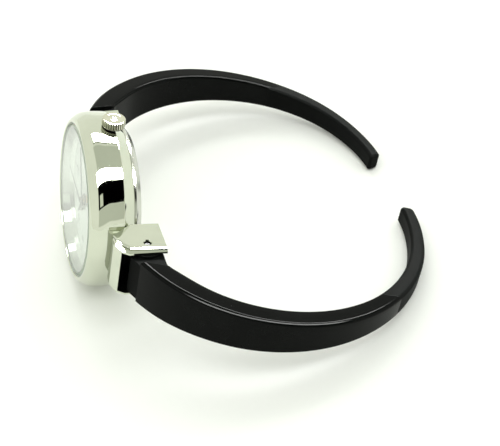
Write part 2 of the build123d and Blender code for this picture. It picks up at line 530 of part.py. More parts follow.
# ------------------------------------------------------------------ rest pose and export
IN_ARM_FRAME = {
    "case_body": case, "arm_12": arm_12, "arm_6": arm_6, "hinge_spring_12": spring_12,
    "hinge_spring_6": spring_6, "hinge_pin_12": hinge_pin_12, "hinge_pin_6": hinge_pin_6,
}
IN_DIAL_FRAME = {
    "crystal": crystal, "crystal_gasket": crystal_gasket, "inner_ring": inner_ring, "dial": dial,
    "second_hand": second_hand, "minute_hand": minute_hand, "hour_hand": hour_hand,
    "fourth_wheel": fourth_wheel, "fifth_wheel": fifth_wheel, "rotor": rotor, "third_wheel": third_wheel,
    "centre_wheel": centre_wheel, "cannon_pinion": cannon_pinion, "minute_wheel": minute_wheel,
    "hour_wheel": hour_wheel, "setting_wheel": setting_wheel, "main_plate": main_plate,
    "train_bridge": train_bridge, "bridge_screws": bridge_screws, "clamp_screws": clamp_screws,
    "coil_screws": coil_screws, "battery": battery, "battery_clamp": battery_clamp, "stator": stator,
    "coil_core": coil_core, "coil_winding": coil_winding, "coil_bobbin": coil_bobbin,
    "circuit_board": circuit_board, "circuit_chip": circuit_chip, "quartz_can": quartz_can,
    "movement_ring": movement_ring, "stem": stem, "sliding_pinion": sliding_pinion,
    "setting_lever": setting_lever, "yoke": yoke, "crown_tube": crown_tube, "crown_seal": crown_seal,
    "crown": crown, "case_back": case_back, "back_gasket": back_gasket,
}

LEAN = Plane(origin=(0, 0, 0), x_dir=(CA, 0, -SA), z_dir=(SA, 0, CA)).location


def solids_of(s):
    """All solids of a piece as one flat list."""
    if isinstance(s, (list, tuple)):
        out = []
        for t in s:
            out += solids_of(t)
        return out
    return list(s.solids())


placed = {}
for name, s in IN_ARM_FRAME.items():
    placed[name] = [LEAN * t for t in solids_of(s)]
for name, s in IN_DIAL_FRAME.items():
    placed[name] = [LEAN * (DIAL_TO_ARM * t) for t in solids_of(s)]

boxes = {n: [t.bounding_box() for t in v] for n, v in placed.items()}
low = min(b.min.Z for v in boxes.values() for b in v)
x0 = min(b.min.X for v in boxes.values() for b in v)
x1 = max(b.max.X for v in boxes.values() for b in v)
y0 = min(b.min.Y for v in boxes.values() for b in v)
y1 = max(b.max.Y for v in boxes.values() for b in v)
SHIFT = (-(x0 + x1) / 2, -(y0 + y1) / 2, -low)
for name, v in sorted(placed.items()):
    moved = [Pos(*SHIFT) * t for t in v]
    whole = moved[0] if len(moved) == 1 else Compound(children=moved)
    export_step(whole, os.path.join("parts", name + ".step"))

print("lean degrees %.4f  shift %.4f %.4f %.4f" % (degrees(A), *SHIFT))
print("size %.3f x %.3f x %.3f" % (x1 - x0, y1 - y0, max(b.max.Z for v in boxes.values() for b in v) - low))
for n in ("case_body", "arm_12", "arm_6"):
    print(n, "lowest %.4f" % (min(b.min.Z for b in boxes[n]) - low))


def to_part(p):
    """Arm-frame point to part frame."""
    x, y, z = p
    return (round(CA * x + SA * z + SHIFT[0], 5), round(y + SHIFT[1], 5), round(-SA * x + CA * z + SHIFT[2], 5))


print("pin 12", to_part((PIN_X, PIN_Y, 0)), "pin 6", to_part((PIN_X, -PIN_Y, 0)))
print("centre", to_part((0, 0, 0)), "dial axis", (round(CA, 6), 0, round(-SA, 6)), "crown axis", (round(SA, 6), 0, round(CA, 6)))
for n, p in (("third", P_THIRD), ("fifth", P_FIFTH), ("rotor", P_ROTOR), ("minute", P_MINUTE), ("setting", P_SET),
             ("lever", P_LEVER), ("yoke", P_YOKE)):
    print(n, to_part((5.0, p[0], p[1])))
print("crown", to_part((CROWN_Z, 0, 14.5)), "back face", to_part((BACK_Z, 0, 0)))
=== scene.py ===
import bpy
import bmesh
import json
from math import sin, cos, tan, atan2, radians, degrees, pi, sqrt, hypot
import numpy as np
from mathutils import Matrix, Vector


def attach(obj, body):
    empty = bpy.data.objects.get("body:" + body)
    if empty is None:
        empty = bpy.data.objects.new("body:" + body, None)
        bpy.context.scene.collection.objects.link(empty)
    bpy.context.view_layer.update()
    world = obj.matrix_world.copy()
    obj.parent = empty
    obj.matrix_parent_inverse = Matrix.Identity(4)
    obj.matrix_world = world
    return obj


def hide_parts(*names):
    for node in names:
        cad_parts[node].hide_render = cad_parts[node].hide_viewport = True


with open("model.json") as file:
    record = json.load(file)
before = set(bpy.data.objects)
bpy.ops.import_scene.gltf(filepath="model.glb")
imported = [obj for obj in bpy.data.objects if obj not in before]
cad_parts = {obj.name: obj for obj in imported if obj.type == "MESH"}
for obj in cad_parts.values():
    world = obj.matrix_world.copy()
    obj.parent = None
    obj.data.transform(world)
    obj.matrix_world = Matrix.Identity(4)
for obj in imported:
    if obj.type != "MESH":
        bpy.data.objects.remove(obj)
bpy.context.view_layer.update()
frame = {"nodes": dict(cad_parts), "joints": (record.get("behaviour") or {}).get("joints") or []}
NODES = frame["nodes"]
SCENE = bpy.context.scene

# ------------------------------------------------------------------ frames
# Arm frame (mm): X from the crystal's rim plane towards the wrist, Y to 12 o'clock, Z to the crown.
# Dial frame (mm): x to 12 o'clock, y to 3 o'clock, z = depth from the crystal's rim plane.
JOINT = {j["name"]: j for j in frame["joints"]}
CEN = Vector(JOINT["minute_hand_turn"]["pos_m"])
AX = Vector(JOINT["minute_hand_turn"]["axis"]).normalized()
AY = Vector((0.0, 1.0, 0.0))
AZ = Vector(JOINT["crown_turn"]["axis"]).normalized()
ARM_M = Matrix(((AX[0] / 1000, AY[0] / 1000, AZ[0] / 1000, CEN[0]),
                (AX[1] / 1000, AY[1] / 1000, AZ[1] / 1000, CEN[1]),
                (AX[2] / 1000, AY[2] / 1000, AZ[2] / 1000, CEN[2]),
                (0, 0, 0, 1)))
DIAL_M = ARM_M @ Matrix(((0, 0, 1, 0), (1, 0, 0, 0), (0, 1, 0, 0), (0, 0, 0, 1)))
FLIP_Y = Matrix.Diagonal((1, -1, 1, 1))

PIN = (7.75, 17.16)
CROWN_Z = 5.07


# ------------------------------------------------------------------ mesh helpers
def polar(r, deg, c=(0.0, 0.0)):
    return (c[0] + r * cos(radians(deg)), c[1] + r * sin(radians(deg)))


def spline(pts, n):
    """Natural cubic spline through points, chord-length parameter, n samples per span."""
    P = np.array(pts, float)
    d = np.sqrt(((P[1:] - P[:-1]) ** 2).sum(1))
    t = np.r_[0, np.cumsum(d)]
    m = len(P)
    Amat = np.zeros((m, m))
    B = np.zeros((m, P.shape[1]))
    Amat[0, 0] = Amat[-1, -1] = 1
    for i in range(1, m - 1):
        Amat[i, i - 1] = d[i - 1]
        Amat[i, i] = 2 * (d[i - 1] + d[i])
        Amat[i, i + 1] = d[i]
        B[i] = 6 * ((P[i + 1] - P[i]) / d[i] - (P[i] - P[i - 1]) / d[i - 1])
    K = np.linalg.solve(Amat, B)

    def at(s):
        i = min(max(int(np.searchsorted(t, s) - 1), 0), m - 2)
        h = d[i]
        a, b = t[i + 1] - s, s - t[i]
        return (K[i] * a ** 3 / (6 * h) + K[i + 1] * b ** 3 / (6 * h) + (P[i] / h - K[i] * h / 6) * a
                + (P[i + 1] / h - K[i + 1] * h / 6) * b)
    if n is None:
        return at, t[-1]
    out = []
    for i in range(m - 1):
        for k in range(n):
            out.append(tuple(at(t[i] + d[i] * k / n)))
    out.append(tuple(P[-1]))
    return out


def rounded(pts, closed=True, seg=5, sup=0.03):
    """Polyline with round corners. Each point is (a, b, radius); small support points keep the flats flat."""
    n = len(pts)
    out = []
    for i, (x, y, r) in enumerate(pts):
        if r <= 0 or (not closed and i in (0, n - 1)):
            out.append((x, y))
            continue
        p = np.array((x, y))
        a = np.array(pts[i - 1][:2]) - p
        b = np.array(pts[(i + 1) % n][:2]) - p
        la, lb = np.linalg.norm(a), np.linalg.norm(b)
        a, b = a / la, b / lb
        c = float(np.clip(np.dot(a, b), -1, 1))
        half = np.arccos(c) / 2
        if half > pi / 2 - 1e-3:
            out.append((x, y))
            continue
        t = min(r / tan(half), la * 0.45, lb * 0.45)
        rr = t * tan(half)
        bis = (a + b) / np.linalg.norm(a + b)
        o = p + bis * rr / sin(half)
        s, e = p + a * t, p + b * t
        a0 = atan2(s[1] - o[1], s[0] - o[0])
        a1 = atan2(e[1] - o[1], e[0] - o[0])
        da = (a1 - a0 + pi) % (2 * pi) - pi
        if sup and la * 0.45 - t > sup * 0.2:
            q = s + a * min(sup, la * 0.45 - t)
            out.append((q[0], q[1]))
        k = max(2, int(seg))
        for j in range(k + 1):
            w = a0 + da * j / k
            out.append((o[0] + rr * cos(w), o[1] + rr * sin(w)))
        if sup and lb * 0.45 - t > sup * 0.2:
            q = e + b * min(sup, lb * 0.45 - t)
            out.append((q[0], q[1]))
    return out


def clean_mesh(bm, merge=1e-5):
    bmesh.ops.remove_doubles(bm, verts=bm.verts, dist=merge)
    bmesh.ops.recalc_face_normals(bm, faces=bm.faces)


def mesh_of(bm, name):
    me = bpy.data.meshes.new(name)
    bm.to_mesh(me)
    bm.free()
    return me


def lathe_bm(prof, seg=256, a0=0.0, mod=None, c=(0.0, 0.0)):
    """Closed profile [(r, z)] turned about the dial axis. mod(i, angle) -> change of radius in mm."""
    bm = bmesh.new()
    rings = []
    for i, (r, z) in enumerate(prof):
        if abs(r) < 1e-6:
            rings.append([bm.verts.new((c[0], c[1], z))])
            continue
        ring = []
        for k in range(seg):
            a = a0 + 2 * pi * k / seg
            rr = r + (mod(i, a) if mod else 0.0)
            ring.append(bm.verts.new((c[0] + rr * cos(a), c[1] + rr * sin(a), z)))
        rings.append(ring)
    m = len(rings)
    for i in range(m):
        A, B = rings[i], rings[(i + 1) % m]
        if len(A) == 1 and len(B) == 1:
            continue
        for k in range(seg):
            k2 = (k + 1) % seg
            if len(A) == 1:
                bm.faces.new((A[0], B[k2], B[k]))
            elif len(B) == 1:
                bm.faces.new((A[k], A[k2], B[0]))
            else:
                bm.faces.new((A[k], A[k2], B[k2], B[k]))
    clean_mesh(bm, 1e-6)
    return bm


def prism_bm(pts, z0, z1):
    """Prism on a closed outline, given in the frame's first two axes."""
    bm = bmesh.new()
    lo = [bm.verts.new((p[0], p[1], z0)) for p in pts]
    hi = [bm.verts.new((p[0], p[1], z1)) for p in pts]
    n = len(pts)
    bm.faces.new(lo[::-1])
    bm.faces.new(hi)
    for i in range(n):
        bm.faces.new((lo[i], lo[(i + 1) % n], hi[(i + 1) % n], hi[i]))
    bmesh.ops.recalc_face_normals(bm, faces=bm.faces)
    return bm


def circle(r, c=(0.0, 0.0), n=64):
    return [polar(r, 360.0 * i / n, c) for i in range(n)]


def box_bm(x0, x1, y0, y1, z0, z1):
    return prism_bm([(x0, y0), (x1, y0), (x1, y1), (x0, y1)], z0, z1)


def boolean(me, others, op="DIFFERENCE"):
    """Mesh with the other meshes cut away from it, or added."""
    o = bpy.data.objects.new("work", me)
    SCENE.collection.objects.link(o)
    tools = []
    for t in others:
        q = bpy.data.objects.new("tool", t)
        SCENE.collection.objects.link(q)
        m = o.modifiers.new("cut", "BOOLEAN")
        m.operation = op
        m.solver = "EXACT"
        m.object = q
        tools.append(q)
    bpy.context.view_layer.update()
    dg = bpy.context.evaluated_depsgraph_get()
    out = bpy.data.meshes.new_from_object(o.evaluated_get(dg))
    for q in tools + [o]:
        bpy.data.objects.remove(q)
    return out


def chamfer_bm(bm, test, w, seg=1):
    es = [e for e in bm.edges if test(e)]
    bmesh.ops.bevel(bm, geom=es, offset=w, offset_type="OFFSET", segments=seg, affect="EDGES", profile=0.5)


def place(me, name, matrix, body, node=None, mat=None, angle=28.0, smooth=True):
    """Mesh in mm of a working frame -> object in the shared frame, riding on a body."""
    me.transform(matrix)
    if matrix.determinant() < 0:
        me.flip_normals()
    me.name = name
    if smooth:
        me.polygons.foreach_set("use_smooth", [True] * len(me.polygons))
        me.set_sharp_from_angle(angle=radians(angle))
    me.update()
    o = bpy.data.objects.new(name, me)
    SCENE.collection.objects.link(o)
    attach(o, body)
    if node:
        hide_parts(node)
    if mat:
        o.data.materials.clear()
        o.data.materials.append(mat)
    return o


def soften(o, width, seg=2, angle=30.0, weighted=True):
    """Tiny round on every sharp edge, in mm."""
    b = o.modifiers.new("edge", "BEVEL")
    b.width = width / 1000
    b.segments = seg
    b.limit_method = "ANGLE"
    b.angle_limit = radians(angle)
    b.use_clamp_overlap = True
    b.harden_normals = False
    if weighted:
        w = o.modifiers.new("normals", "WEIGHTED_NORMAL")
        w.keep_sharp = False
        w.weight = 80


# ------------------------------------------------------------------ material helpers
class Tree:
    def __init__(self, name):
        self.mat = bpy.data.materials.new(name)
        self.mat.use_nodes = True
        self.nt = self.mat.node_tree
        for n in list(self.nt.nodes):
            self.nt.nodes.remove(n)
        self.out = self.nt.nodes.new("ShaderNodeOutputMaterial")
        self.bsdf = self.nt.nodes.new("ShaderNodeBsdfPrincipled")
        self.nt.links.new(self.bsdf.outputs[0], self.out.inputs[0])
        tc = self.nt.nodes.new("ShaderNodeTexCoord")
        mm = self.nt.nodes.new("ShaderNodeVectorMath")
        mm.operation = "SCALE"
        mm.inputs[3].default_value = 1000.0
        self.nt.links.new(tc.outputs["Object"], mm.inputs[0])
        self.mm = mm.outputs[0]
        self._dial = {}

    def node(self, kind, **kw):
        n = self.nt.nodes.new(kind)
        for k, v in kw.items():
            setattr(n, k, v)
        return n

    def put(self, sock, v):
        if hasattr(v, "is_output") or isinstance(v, bpy.types.NodeSocket):
            self.nt.links.new(v, sock)
        elif v is not None:
            sock.default_value = v

    def math(self, op, a, b=None, c=None, clamp=False):
        n = self.node("ShaderNodeMath", operation=op, use_clamp=clamp)
        self.put(n.inputs[0], a)
        if b is not None:
            self.put(n.inputs[1], b)
        if c is not None:
            self.put(n.inputs[2], c)
        return n.outputs[0]

    def vec(self, op, a, b=None):
        n = self.node("ShaderNodeVectorMath", operation=op)
        self.put(n.inputs[0], a)
        if b is not None:
            self.put(n.inputs[1], b)
        return n.outputs["Value"] if op in ("DOT_PRODUCT", "LENGTH", "DISTANCE") else n.outputs[0]

    def scale(self, v, s):
        n = self.node("ShaderNodeVectorMath", operation="MULTIPLY")
        self.put(n.inputs[0], v)
        n.inputs[1].default_value = s if hasattr(s, "__len__") else (s, s, s)
        return n.outputs[0]

    def combine(self, x, y, z):
        n = self.node("ShaderNodeCombineXYZ")
        self.put(n.inputs[0], x)
        self.put(n.inputs[1], y)
        self.put(n.inputs[2], z)
        return n.outputs[0]

    def noise(self, vec, scale, detail=3.0, rough=0.55, dist=0.0):
        n = self.node("ShaderNodeTexNoise")
        self.put(n.inputs["Vector"], vec)
        n.inputs["Scale"].default_value = scale
        n.inputs["Detail"].default_value = detail
        n.inputs["Roughness"].default_value = rough
        n.inputs["Distortion"].default_value = dist
        return n.outputs["Fac"]

    def voronoi(self, vec, scale, feature="F1"):
        n = self.node("ShaderNodeTexVoronoi", feature=feature)
        self.put(n.inputs["Vector"], vec)
        n.inputs["Scale"].default_value = scale
        return n.outputs["Distance"]

    def remap(self, v, a, b, c, d, smooth=False):
        n = self.node("ShaderNodeMapRange")
        if smooth:
            n.interpolation_type = "SMOOTHSTEP"
        self.put(n.inputs["Value"], v)
        n.inputs["From Min"].default_value = a
        n.inputs["From Max"].default_value = b
        n.inputs["To Min"].default_value = c
        n.inputs["To Max"].default_value = d
        return n.outputs["Result"]

    def ramp(self, v, stops):
        n = self.node("ShaderNodeValToRGB")
        self.put(n.inputs[0], v)
        e = n.color_ramp.elements
        while len(e) < len(stops):
            e.new(0.5)
        for el, (p, col) in zip(e, stops):
            el.position = p
            el.color = (col[0], col[1], col[2], 1.0)
        return n.outputs[0]

    def mix(self, f, a, b, blend="MIX"):
        n = self.node("ShaderNodeMix", data_type="RGBA", blend_type=blend)
        self.put(n.inputs[0], f)
        for s, v in ((n.inputs[6], a), (n.inputs[7], b)):
            if isinstance(v, (tuple, list)):
                s.default_value = (v[0], v[1], v[2], 1.0)
            else:
                self.put(s, v)
        return n.outputs[2]

    def bump(self, h, dist_mm, strength=1.0, prev=None):
        n = self.node("ShaderNodeBump")
        n.inputs["Strength"].default_value = strength
        n.inputs["Distance"].default_value = dist_mm / 1000.0
        self.put(n.inputs["Height"], h)
        if prev is not None:
            self.put(n.inputs["Normal"], prev)
        return n.outputs[0]

    def dial(self, c=(0.0, 0.0)):
        """(x, y, z, r, angle) in mm of the dial frame, measured from the point c."""
        if c not in self._dial:
            q = self.vec("SUBTRACT", self.mm, tuple(CEN * 1000))
            x = self.math("SUBTRACT", self.vec("DOT_PRODUCT", q, tuple(AY)), c[0])
            y = self.math("SUBTRACT", self.vec("DOT_PRODUCT", q, tuple(AZ)), c[1])
            z = self.vec("DOT_PRODUCT", q, tuple(AX))
            r = self.math("SQRT", self.math("ADD", self.math("MULTIPLY", x, x), self.math("MULTIPLY", y, y)))
            ang = self.math("ARCTAN2", y, x)
            self._dial[c] = (x, y, z, r, ang)
        return self._dial[c]

    def set(self, **kw):
        names = {"base": "Base Color", "metal": "Metallic", "rough": "Roughness", "ior": "IOR",
                 "spec": "Specular IOR Level", "normal": "Normal", "coat": "Coat Weight",
                 "coat_rough": "Coat Roughness", "trans": "Transmission Weight", "aniso": "Anisotropic",
                 "sss": "Subsurface Weight", "sss_scale": "Subsurface Scale", "sheen": "Sheen Weight",
                 "tint": "Specular Tint"}
        for k, v in kw.items():
            s = self.bsdf.inputs[names[k]]
            if isinstance(v, (tuple, list)) and len(v) == 3 and s.type == "RGBA":
                s.default_value = (v[0], v[1], v[2], 1.0)
            else:
                self.put(s, v)
        return self.mat


def tone(t, base, amount, scale, warm=0.0):
    """Slow variation of a colour over the surface."""
    n = t.noise(t.mm, scale, 3.0)
    lo = tuple(max(0.0, b * (1 - amount)) for b in base)
    hi = tuple(min(1.0, b * (1 + amount * (1 - warm * (i == 2)))) for i, b in enumerate(base))
    return t.ramp(n, [(0.30, lo), (0.70, hi)])


def polished(name, base, rough=0.045, spread=0.04, tint=0.03, polish=0.00012):
    """Mirror-polished plating: faint polishing haze, hairlines and a slow change of tone."""
    t = Tree(name)
    col = tone(t, base, tint, 0.22)
    haze = t.noise(t.mm, 0.9, 4.0, 0.6)
    hair = t.noise(t.scale(t.mm, (9.0, 0.8, 9.0)), 2.2, 2.0)
    r = t.math("ADD", t.remap(haze, 0.35, 0.75, rough, rough + spread), t.remap(hair, 0.62, 0.80, 0.0, 0.05))
    b = t.bump(t.noise(t.mm, 0.55, 1.0), polish, 1.0)
    return t.set(base=col, metal=1.0, rough=r, normal=b)


def turned(name, base, rough=0.22, depth=0.0006, pitch=16.0, c=(0.0, 0.0), metal=1.0, tint=0.06, axis="dial"):
    """Metal turned on a lathe: fine rings round its own axis."""
    t = Tree(name)
    x, y, z, r, ang = t.dial(c)
    if axis == "dial":
        v = t.combine(t.math("MULTIPLY", r, pitch), t.math("MULTIPLY", ang, 0.35), t.math("MULTIPLY", z, pitch * 0.5))
    else:
        v = t.combine(t.math("MULTIPLY", y, pitch), t.math("MULTIPLY", x, 0.6), t.math("MULTIPLY", z, 0.6))
    g = t.noise(v, 1.0, 3.0, 0.6)
    col = t.mix(t.remap(g, 0.3, 0.7, 0.0, 1.0), tuple(b * (1 - tint) for b in base), tuple(min(1, b * (1 + tint)) for b in base))
    rr = t.remap(g, 0.3, 0.7, rough * 0.8, rough * 1.35)
    return t.set(base=col, metal=metal, rough=rr, normal=t.bump(g, depth))


def brushed(name, base, rough=0.28, depth=0.0008, vec=(0.6, 0.6, 14.0), metal=1.0, tint=0.07):
    """Straight graining."""
    t = Tree(name)
    g = t.noise(t.scale(t.mm, vec), 1.0, 3.0, 0.6)
    big = t.noise(t.mm, 0.5, 2.0)
    col = t.mix(t.remap(g, 0.3, 0.7, 0.0, 1.0), tuple(b * (1 - tint) for b in base), tuple(min(1, b * (1 + tint)) for b in base))
    rr = t.math("ADD", t.remap(g, 0.3, 0.7, rough * 0.85, rough * 1.25), t.remap(big, 0.3, 0.7, 0.0, 0.05))
    return t.set(base=col, metal=metal, rough=rr, normal=t.bump(g, depth))


def plastic(name, base, rough=0.42, depth=0.0015, grain=9.0, tint=0.05, sss=0.0, spec=0.5):
    """Moulded plastic: fine spark-eroded grain and faint flow marks."""
    t = Tree(name)
    g = t.noise(t.mm, grain, 4.0, 0.6)
    flow = t.noise(t.scale(t.mm, (0.5, 1.4, 0.7)), 0.8, 2.0, 0.5, 0.6)
    col = t.mix(t.remap(flow, 0.3, 0.7, 0.0, 1.0), tuple(b * (1 - tint) for b in base), tuple(min(1, b * (1 + tint)) for b in base))
    rr = t.math("ADD", t.remap(g, 0.3, 0.7, rough - 0.06, rough + 0.06), t.remap(flow, 0.3, 0.7, -0.03, 0.03))
    return t.set(base=col, metal=0.0, rough=rr, spec=spec, sss=sss, sss_scale=0.0006, normal=t.bump(g, depth))


# ------------------------------------------------------------------ materials
CASE_TINT = (0.61, 0.64, 0.53)


def plated_case():
    """Mirror plating outside; inside the hinge pockets and pin bores the colour is painted near-black as shade and the
    metal is left dull.
    """
    t = Tree("polished_case")
    x, y, z, r, ang = t.dial()
    col = tone(t, CASE_TINT, 0.03, 0.22)
    haze = t.noise(t.mm, 0.9, 4.0, 0.6)
    hair = t.noise(t.scale(t.mm, (9.0, 0.8, 9.0)), 2.2, 2.0)
    rr = t.math("ADD", t.remap(haze, 0.35, 0.75, 0.03, 0.06), t.remap(hair, 0.62, 0.80, 0.0, 0.05))
    ax = t.math("ABSOLUTE", x)
    u, v = t.math("SUBTRACT", z, PIN[0]), t.math("SUBTRACT", ax, PIN[1])
    q = t.math("SQRT", t.math("ADD", t.math("MULTIPLY", u, u), t.math("MULTIPLY", v, v)))
    near = t.remap(q, 3.17, 3.19, 1.0, 0.0)
    open_ = t.math("MULTIPLY", t.remap(z, 3.70, 3.715, 0.0, 1.0), t.remap(ax, 15.9, 16.0, 0.0, 1.0))
    inside = t.math("MULTIPLY", t.math("MAXIMUM", near, open_), t.remap(t.math("ABSOLUTE", y), 3.655, 3.665, 1.0, 0.0))
    bore = t.math("MULTIPLY", t.remap(q, 0.545, 0.56, 1.0, 0.0), t.remap(t.math("ABSOLUTE", y), 4.44, 4.47, 1.0, 0.0))
    # pocket insides and pin bores: painted shade in near-black, plus added roughness
    painted_shade_and_dull = t.math("MAXIMUM", inside, bore)
    # a thin band round the hood's step is painted nearly black: a painted shadow and dark reflection line
    painted_shade_line = t.math("MULTIPLY", t.remap(t.math("ABSOLUTE", t.math("SUBTRACT", t.math("ABSOLUTE", y), 4.33)), 0.05, 0.08, 1.0, 0.0),
                  t.remap(ax, 14.9, 15.1, 0.0, 1.0))
    painted_shade_and_dull = t.math("MAXIMUM", painted_shade_and_dull, t.math("MULTIPLY", painted_shade_line, 0.90))
    # near-black colour laid on the pockets, bores and step line: painted shade
    col = t.mix(painted_shade_and_dull, col, (0.012, 0.012, 0.012))
    rr = t.math("ADD", rr, t.math("MULTIPLY", painted_shade_and_dull, 0.45))
    b = t.bump(t.noise(t.mm, 0.55, 1.0), 0.00012, 1.0)
    return t.set(base=col, metal=1.0, rough=rr, normal=b)


M_CASE = plated_case()
M_RING = polished("polished_ring", (0.70, 0.745, 0.67), 0.05, 0.05)


def crown_plate():
    """Polished plating, with shade painted near-black into the flutes and under the rim."""
    t = Tree("crown_metal")
    x, y, z, r, ang = t.dial()
    col = tone(t, (0.66, 0.66, 0.53), 0.05, 0.22)
    w = t.math("SUBTRACT", z, CROWN_Z)
    rc = t.math("SQRT", t.math("ADD", t.math("MULTIPLY", x, x), t.math("MULTIPLY", w, w)))
    band = t.math("MULTIPLY", t.remap(y, 14.20, 14.26, 0.0, 1.0), t.remap(y, 15.20, 15.26, 1.0, 0.0))
    valley = t.math("MULTIPLY", band, t.remap(rc, 1.70, 1.80, 1.0, 0.0, True))
    under = t.math("MULTIPLY", t.remap(y, 14.12, 14.20, 1.0, 0.0), t.remap(rc, 0.5, 0.6, 0.0, 1.0))
    # flute valleys and the crown's underside are painted near-black: painted shade, plus added roughness
    painted_shade_mask = t.math("MAXIMUM", t.math("MULTIPLY", valley, 0.93), under)
    col = t.mix(painted_shade_mask, col, (0.03, 0.028, 0.02))
    haze = t.noise(t.mm, 0.9, 4.0, 0.6)
    rr = t.math("ADD", t.remap(haze, 0.35, 0.75, 0.05, 0.09), t.math("MULTIPLY", painted_shade_mask, 0.3))
    return t.set(base=col, metal=1.0, rough=rr, normal=t.bump(t.noise(t.mm, 0.55, 1.0), 0.00012))


M_CROWN = crown_plate()
M_BACK = turned("case_back_steel", (0.60, 0.61, 0.56), 0.16, 0.0005, 9.0)
M_STEEL = turned("steel_turned", (0.56, 0.56, 0.54), 0.20, 0.0005, 18.0, axis="stem")
M_STEEL_FLAT = brushed("steel_grained", (0.56, 0.56, 0.55), 0.24)
M_PIN = turned("pin_steel", (0.10, 0.10, 0.10), 0.42, 0.0005, 18.0, axis="stem")
M_SPRING = brushed("spring_steel", (0.48, 0.48, 0.50), 0.30, 0.0006, (3.0, 3.0, 9.0))


def arm_coat():
    """Black satin coating: dense fine grain, slow cloudiness in gloss, a few dust specks."""
    t = Tree("arm_black")
    grain = t.noise(t.mm, 26.0, 4.0, 0.65)
    cloud = t.noise(t.mm, 0.35, 3.0, 0.5)
    speck = t.voronoi(t.mm, 0.9)
    dust = t.math("MULTIPLY", t.remap(speck, 0.0, 0.05, 1.0, 0.0), t.remap(t.noise(t.mm, 0.8, 1.0), 0.62, 0.68, 0.0, 1.0))
    col = t.mix(t.remap(cloud, 0.3, 0.7, 0.0, 1.0), (0.0016, 0.0020, 0.0018), (0.0028, 0.0034, 0.0031))
    col = t.mix(t.math("MULTIPLY", dust, 0.5), col, (0.35, 0.36, 0.34))
    rr = t.math("ADD", t.remap(cloud, 0.3, 0.7, 0.09, 0.14), t.remap(grain, 0.3, 0.7, -0.01, 0.02))
    # the neck beside the hinge is worn dull
    x, y, z, r, ang = t.dial()
    d = t.math("ADD", t.math("MULTIPLY", t.math("SUBTRACT", z, 4.60), -0.2334),
               t.math("MULTIPLY", t.math("SUBTRACT", t.math("ABSOLUTE", x), 20.11), 0.9724))
    rr = t.math("ADD", rr, t.remap(d, 0.12, 0.17, 0.5, 0.0))
    b = t.bump(grain, 0.0003, 1.0)
    b = t.bump(t.noise(t.mm, 1.6, 2.0), 0.0008, 1.0, b)
    return t.set(base=col, metal=0.0, rough=rr, spec=0.062, normal=b, coat=0.0)


def dial_lacquer():
    """White lacquer with a very fine pearl grain."""
    t = Tree("dial_white")
    x, y, z, r, ang = t.dial()
    pearl = t.noise(t.mm, 30.0, 3.0, 0.7)
    sun = t.noise(t.combine(t.math("MULTIPLY", ang, 26.0), t.math("MULTIPLY", r, 0.05), 0.0), 1.0, 2.0)
    col = t.mix(t.remap(pearl, 0.3, 0.7, 0.0, 1.0), (0.80, 0.86, 0.78), (0.88, 0.93, 0.86))
    col = t.mix(t.math("MULTIPLY", t.remap(sun, 0.3, 0.7, 0.0, 1.0), 0.10), col, (0.93, 0.97, 0.92))
    rr = t.remap(pearl, 0.3, 0.7, 0.30, 0.42)
    return t.set(base=col, metal=0.0, rough=rr, spec=0.5, normal=t.bump(pearl, 0.0006), coat=0.3, coat_rough=0.08)


def glass():
    """Flat mineral glass with a faint film that roughens it in patches."""
    t = Tree("crystal_glass")
    film = t.noise(t.mm, 0.32, 3.0, 0.5)
    wipe = t.noise(t.scale(t.mm, (0.3, 2.4, 0.5)), 1.0, 2.0)
    rr = t.math("MULTIPLY", t.remap(film, 0.5, 0.8, 0.0, 0.012), t.remap(wipe, 0.3, 0.7, 0.2, 1.0))
    col = t.mix(t.remap(film, 0.3, 0.7, 0.0, 1.0), (0.955, 0.985, 0.965), (0.975, 0.995, 0.98))
    t.set(base=col, metal=0.0, rough=rr, ior=1.5, trans=1.0, spec=0.5)
    # the ground bevel round the rim scatters light
    x, y, z, r, ang = t.dial()
    edge = t.math("MULTIPLY", t.remap(r, 11.655, 11.69, 0.0, 1.0), t.remap(z, 0.42, 0.46, 1.0, 0.0))
    grain = t.noise(t.mm, 18.0, 3.0)
    t.set(base=t.mix(edge, col, (0.41, 0.475, 0.385)), trans=t.math("SUBTRACT", 1.0, edge),
          rough=t.math("ADD", rr, t.math("MULTIPLY", edge, t.remap(grain, 0.3, 0.7, 0.25, 0.38))))
    clear = t.node("ShaderNodeBsdfTransparent")
    t.put(clear.inputs[0], (0.93, 0.965, 0.945, 1.0))
    lp = t.node("ShaderNodeLightPath")
    m = t.node("ShaderNodeMixShader")
    t.put(m.inputs[0], lp.outputs["Is Shadow Ray"])
    t.nt.links.new(t.bsdf.outputs[0], m.inputs[1])
    t.nt.links.new(clear.outputs[0], m.inputs[2])
    t.nt.links.new(m.outputs[0], t.out.inputs[0])
    return t.mat


def rubber(name, base=(0.02, 0.02, 0.02)):
    t = Tree(name)
    g = t.noise(t.mm, 14.0, 4.0, 0.6)
    bloom = t.noise(t.mm, 1.1, 3.0)
    col = t.mix(t.remap(bloom, 0.4, 0.75, 0.0, 0.35), base, (0.09, 0.09, 0.09))
    return t.set(base=col, metal=0.0, rough=t.remap(g, 0.3, 0.7, 0.55, 0.75), spec=0.4, normal=t.bump(g, 0.003))


def nylon():
    """Translucent grey nylon seal."""
    t = Tree("crystal_seal")
    g = t.noise(t.mm, 7.0, 3.0)
    col = t.mix(t.remap(g, 0.3, 0.7, 0.0, 1.0), (0.30, 0.335, 0.30), (0.40, 0.44, 0.40))
    return t.set(base=col, metal=0.0, rough=t.remap(g, 0.3, 0.7, 0.25, 0.4), spec=0.5, sss=0.15, sss_scale=0.0005,
                 normal=t.bump(g, 0.0008))


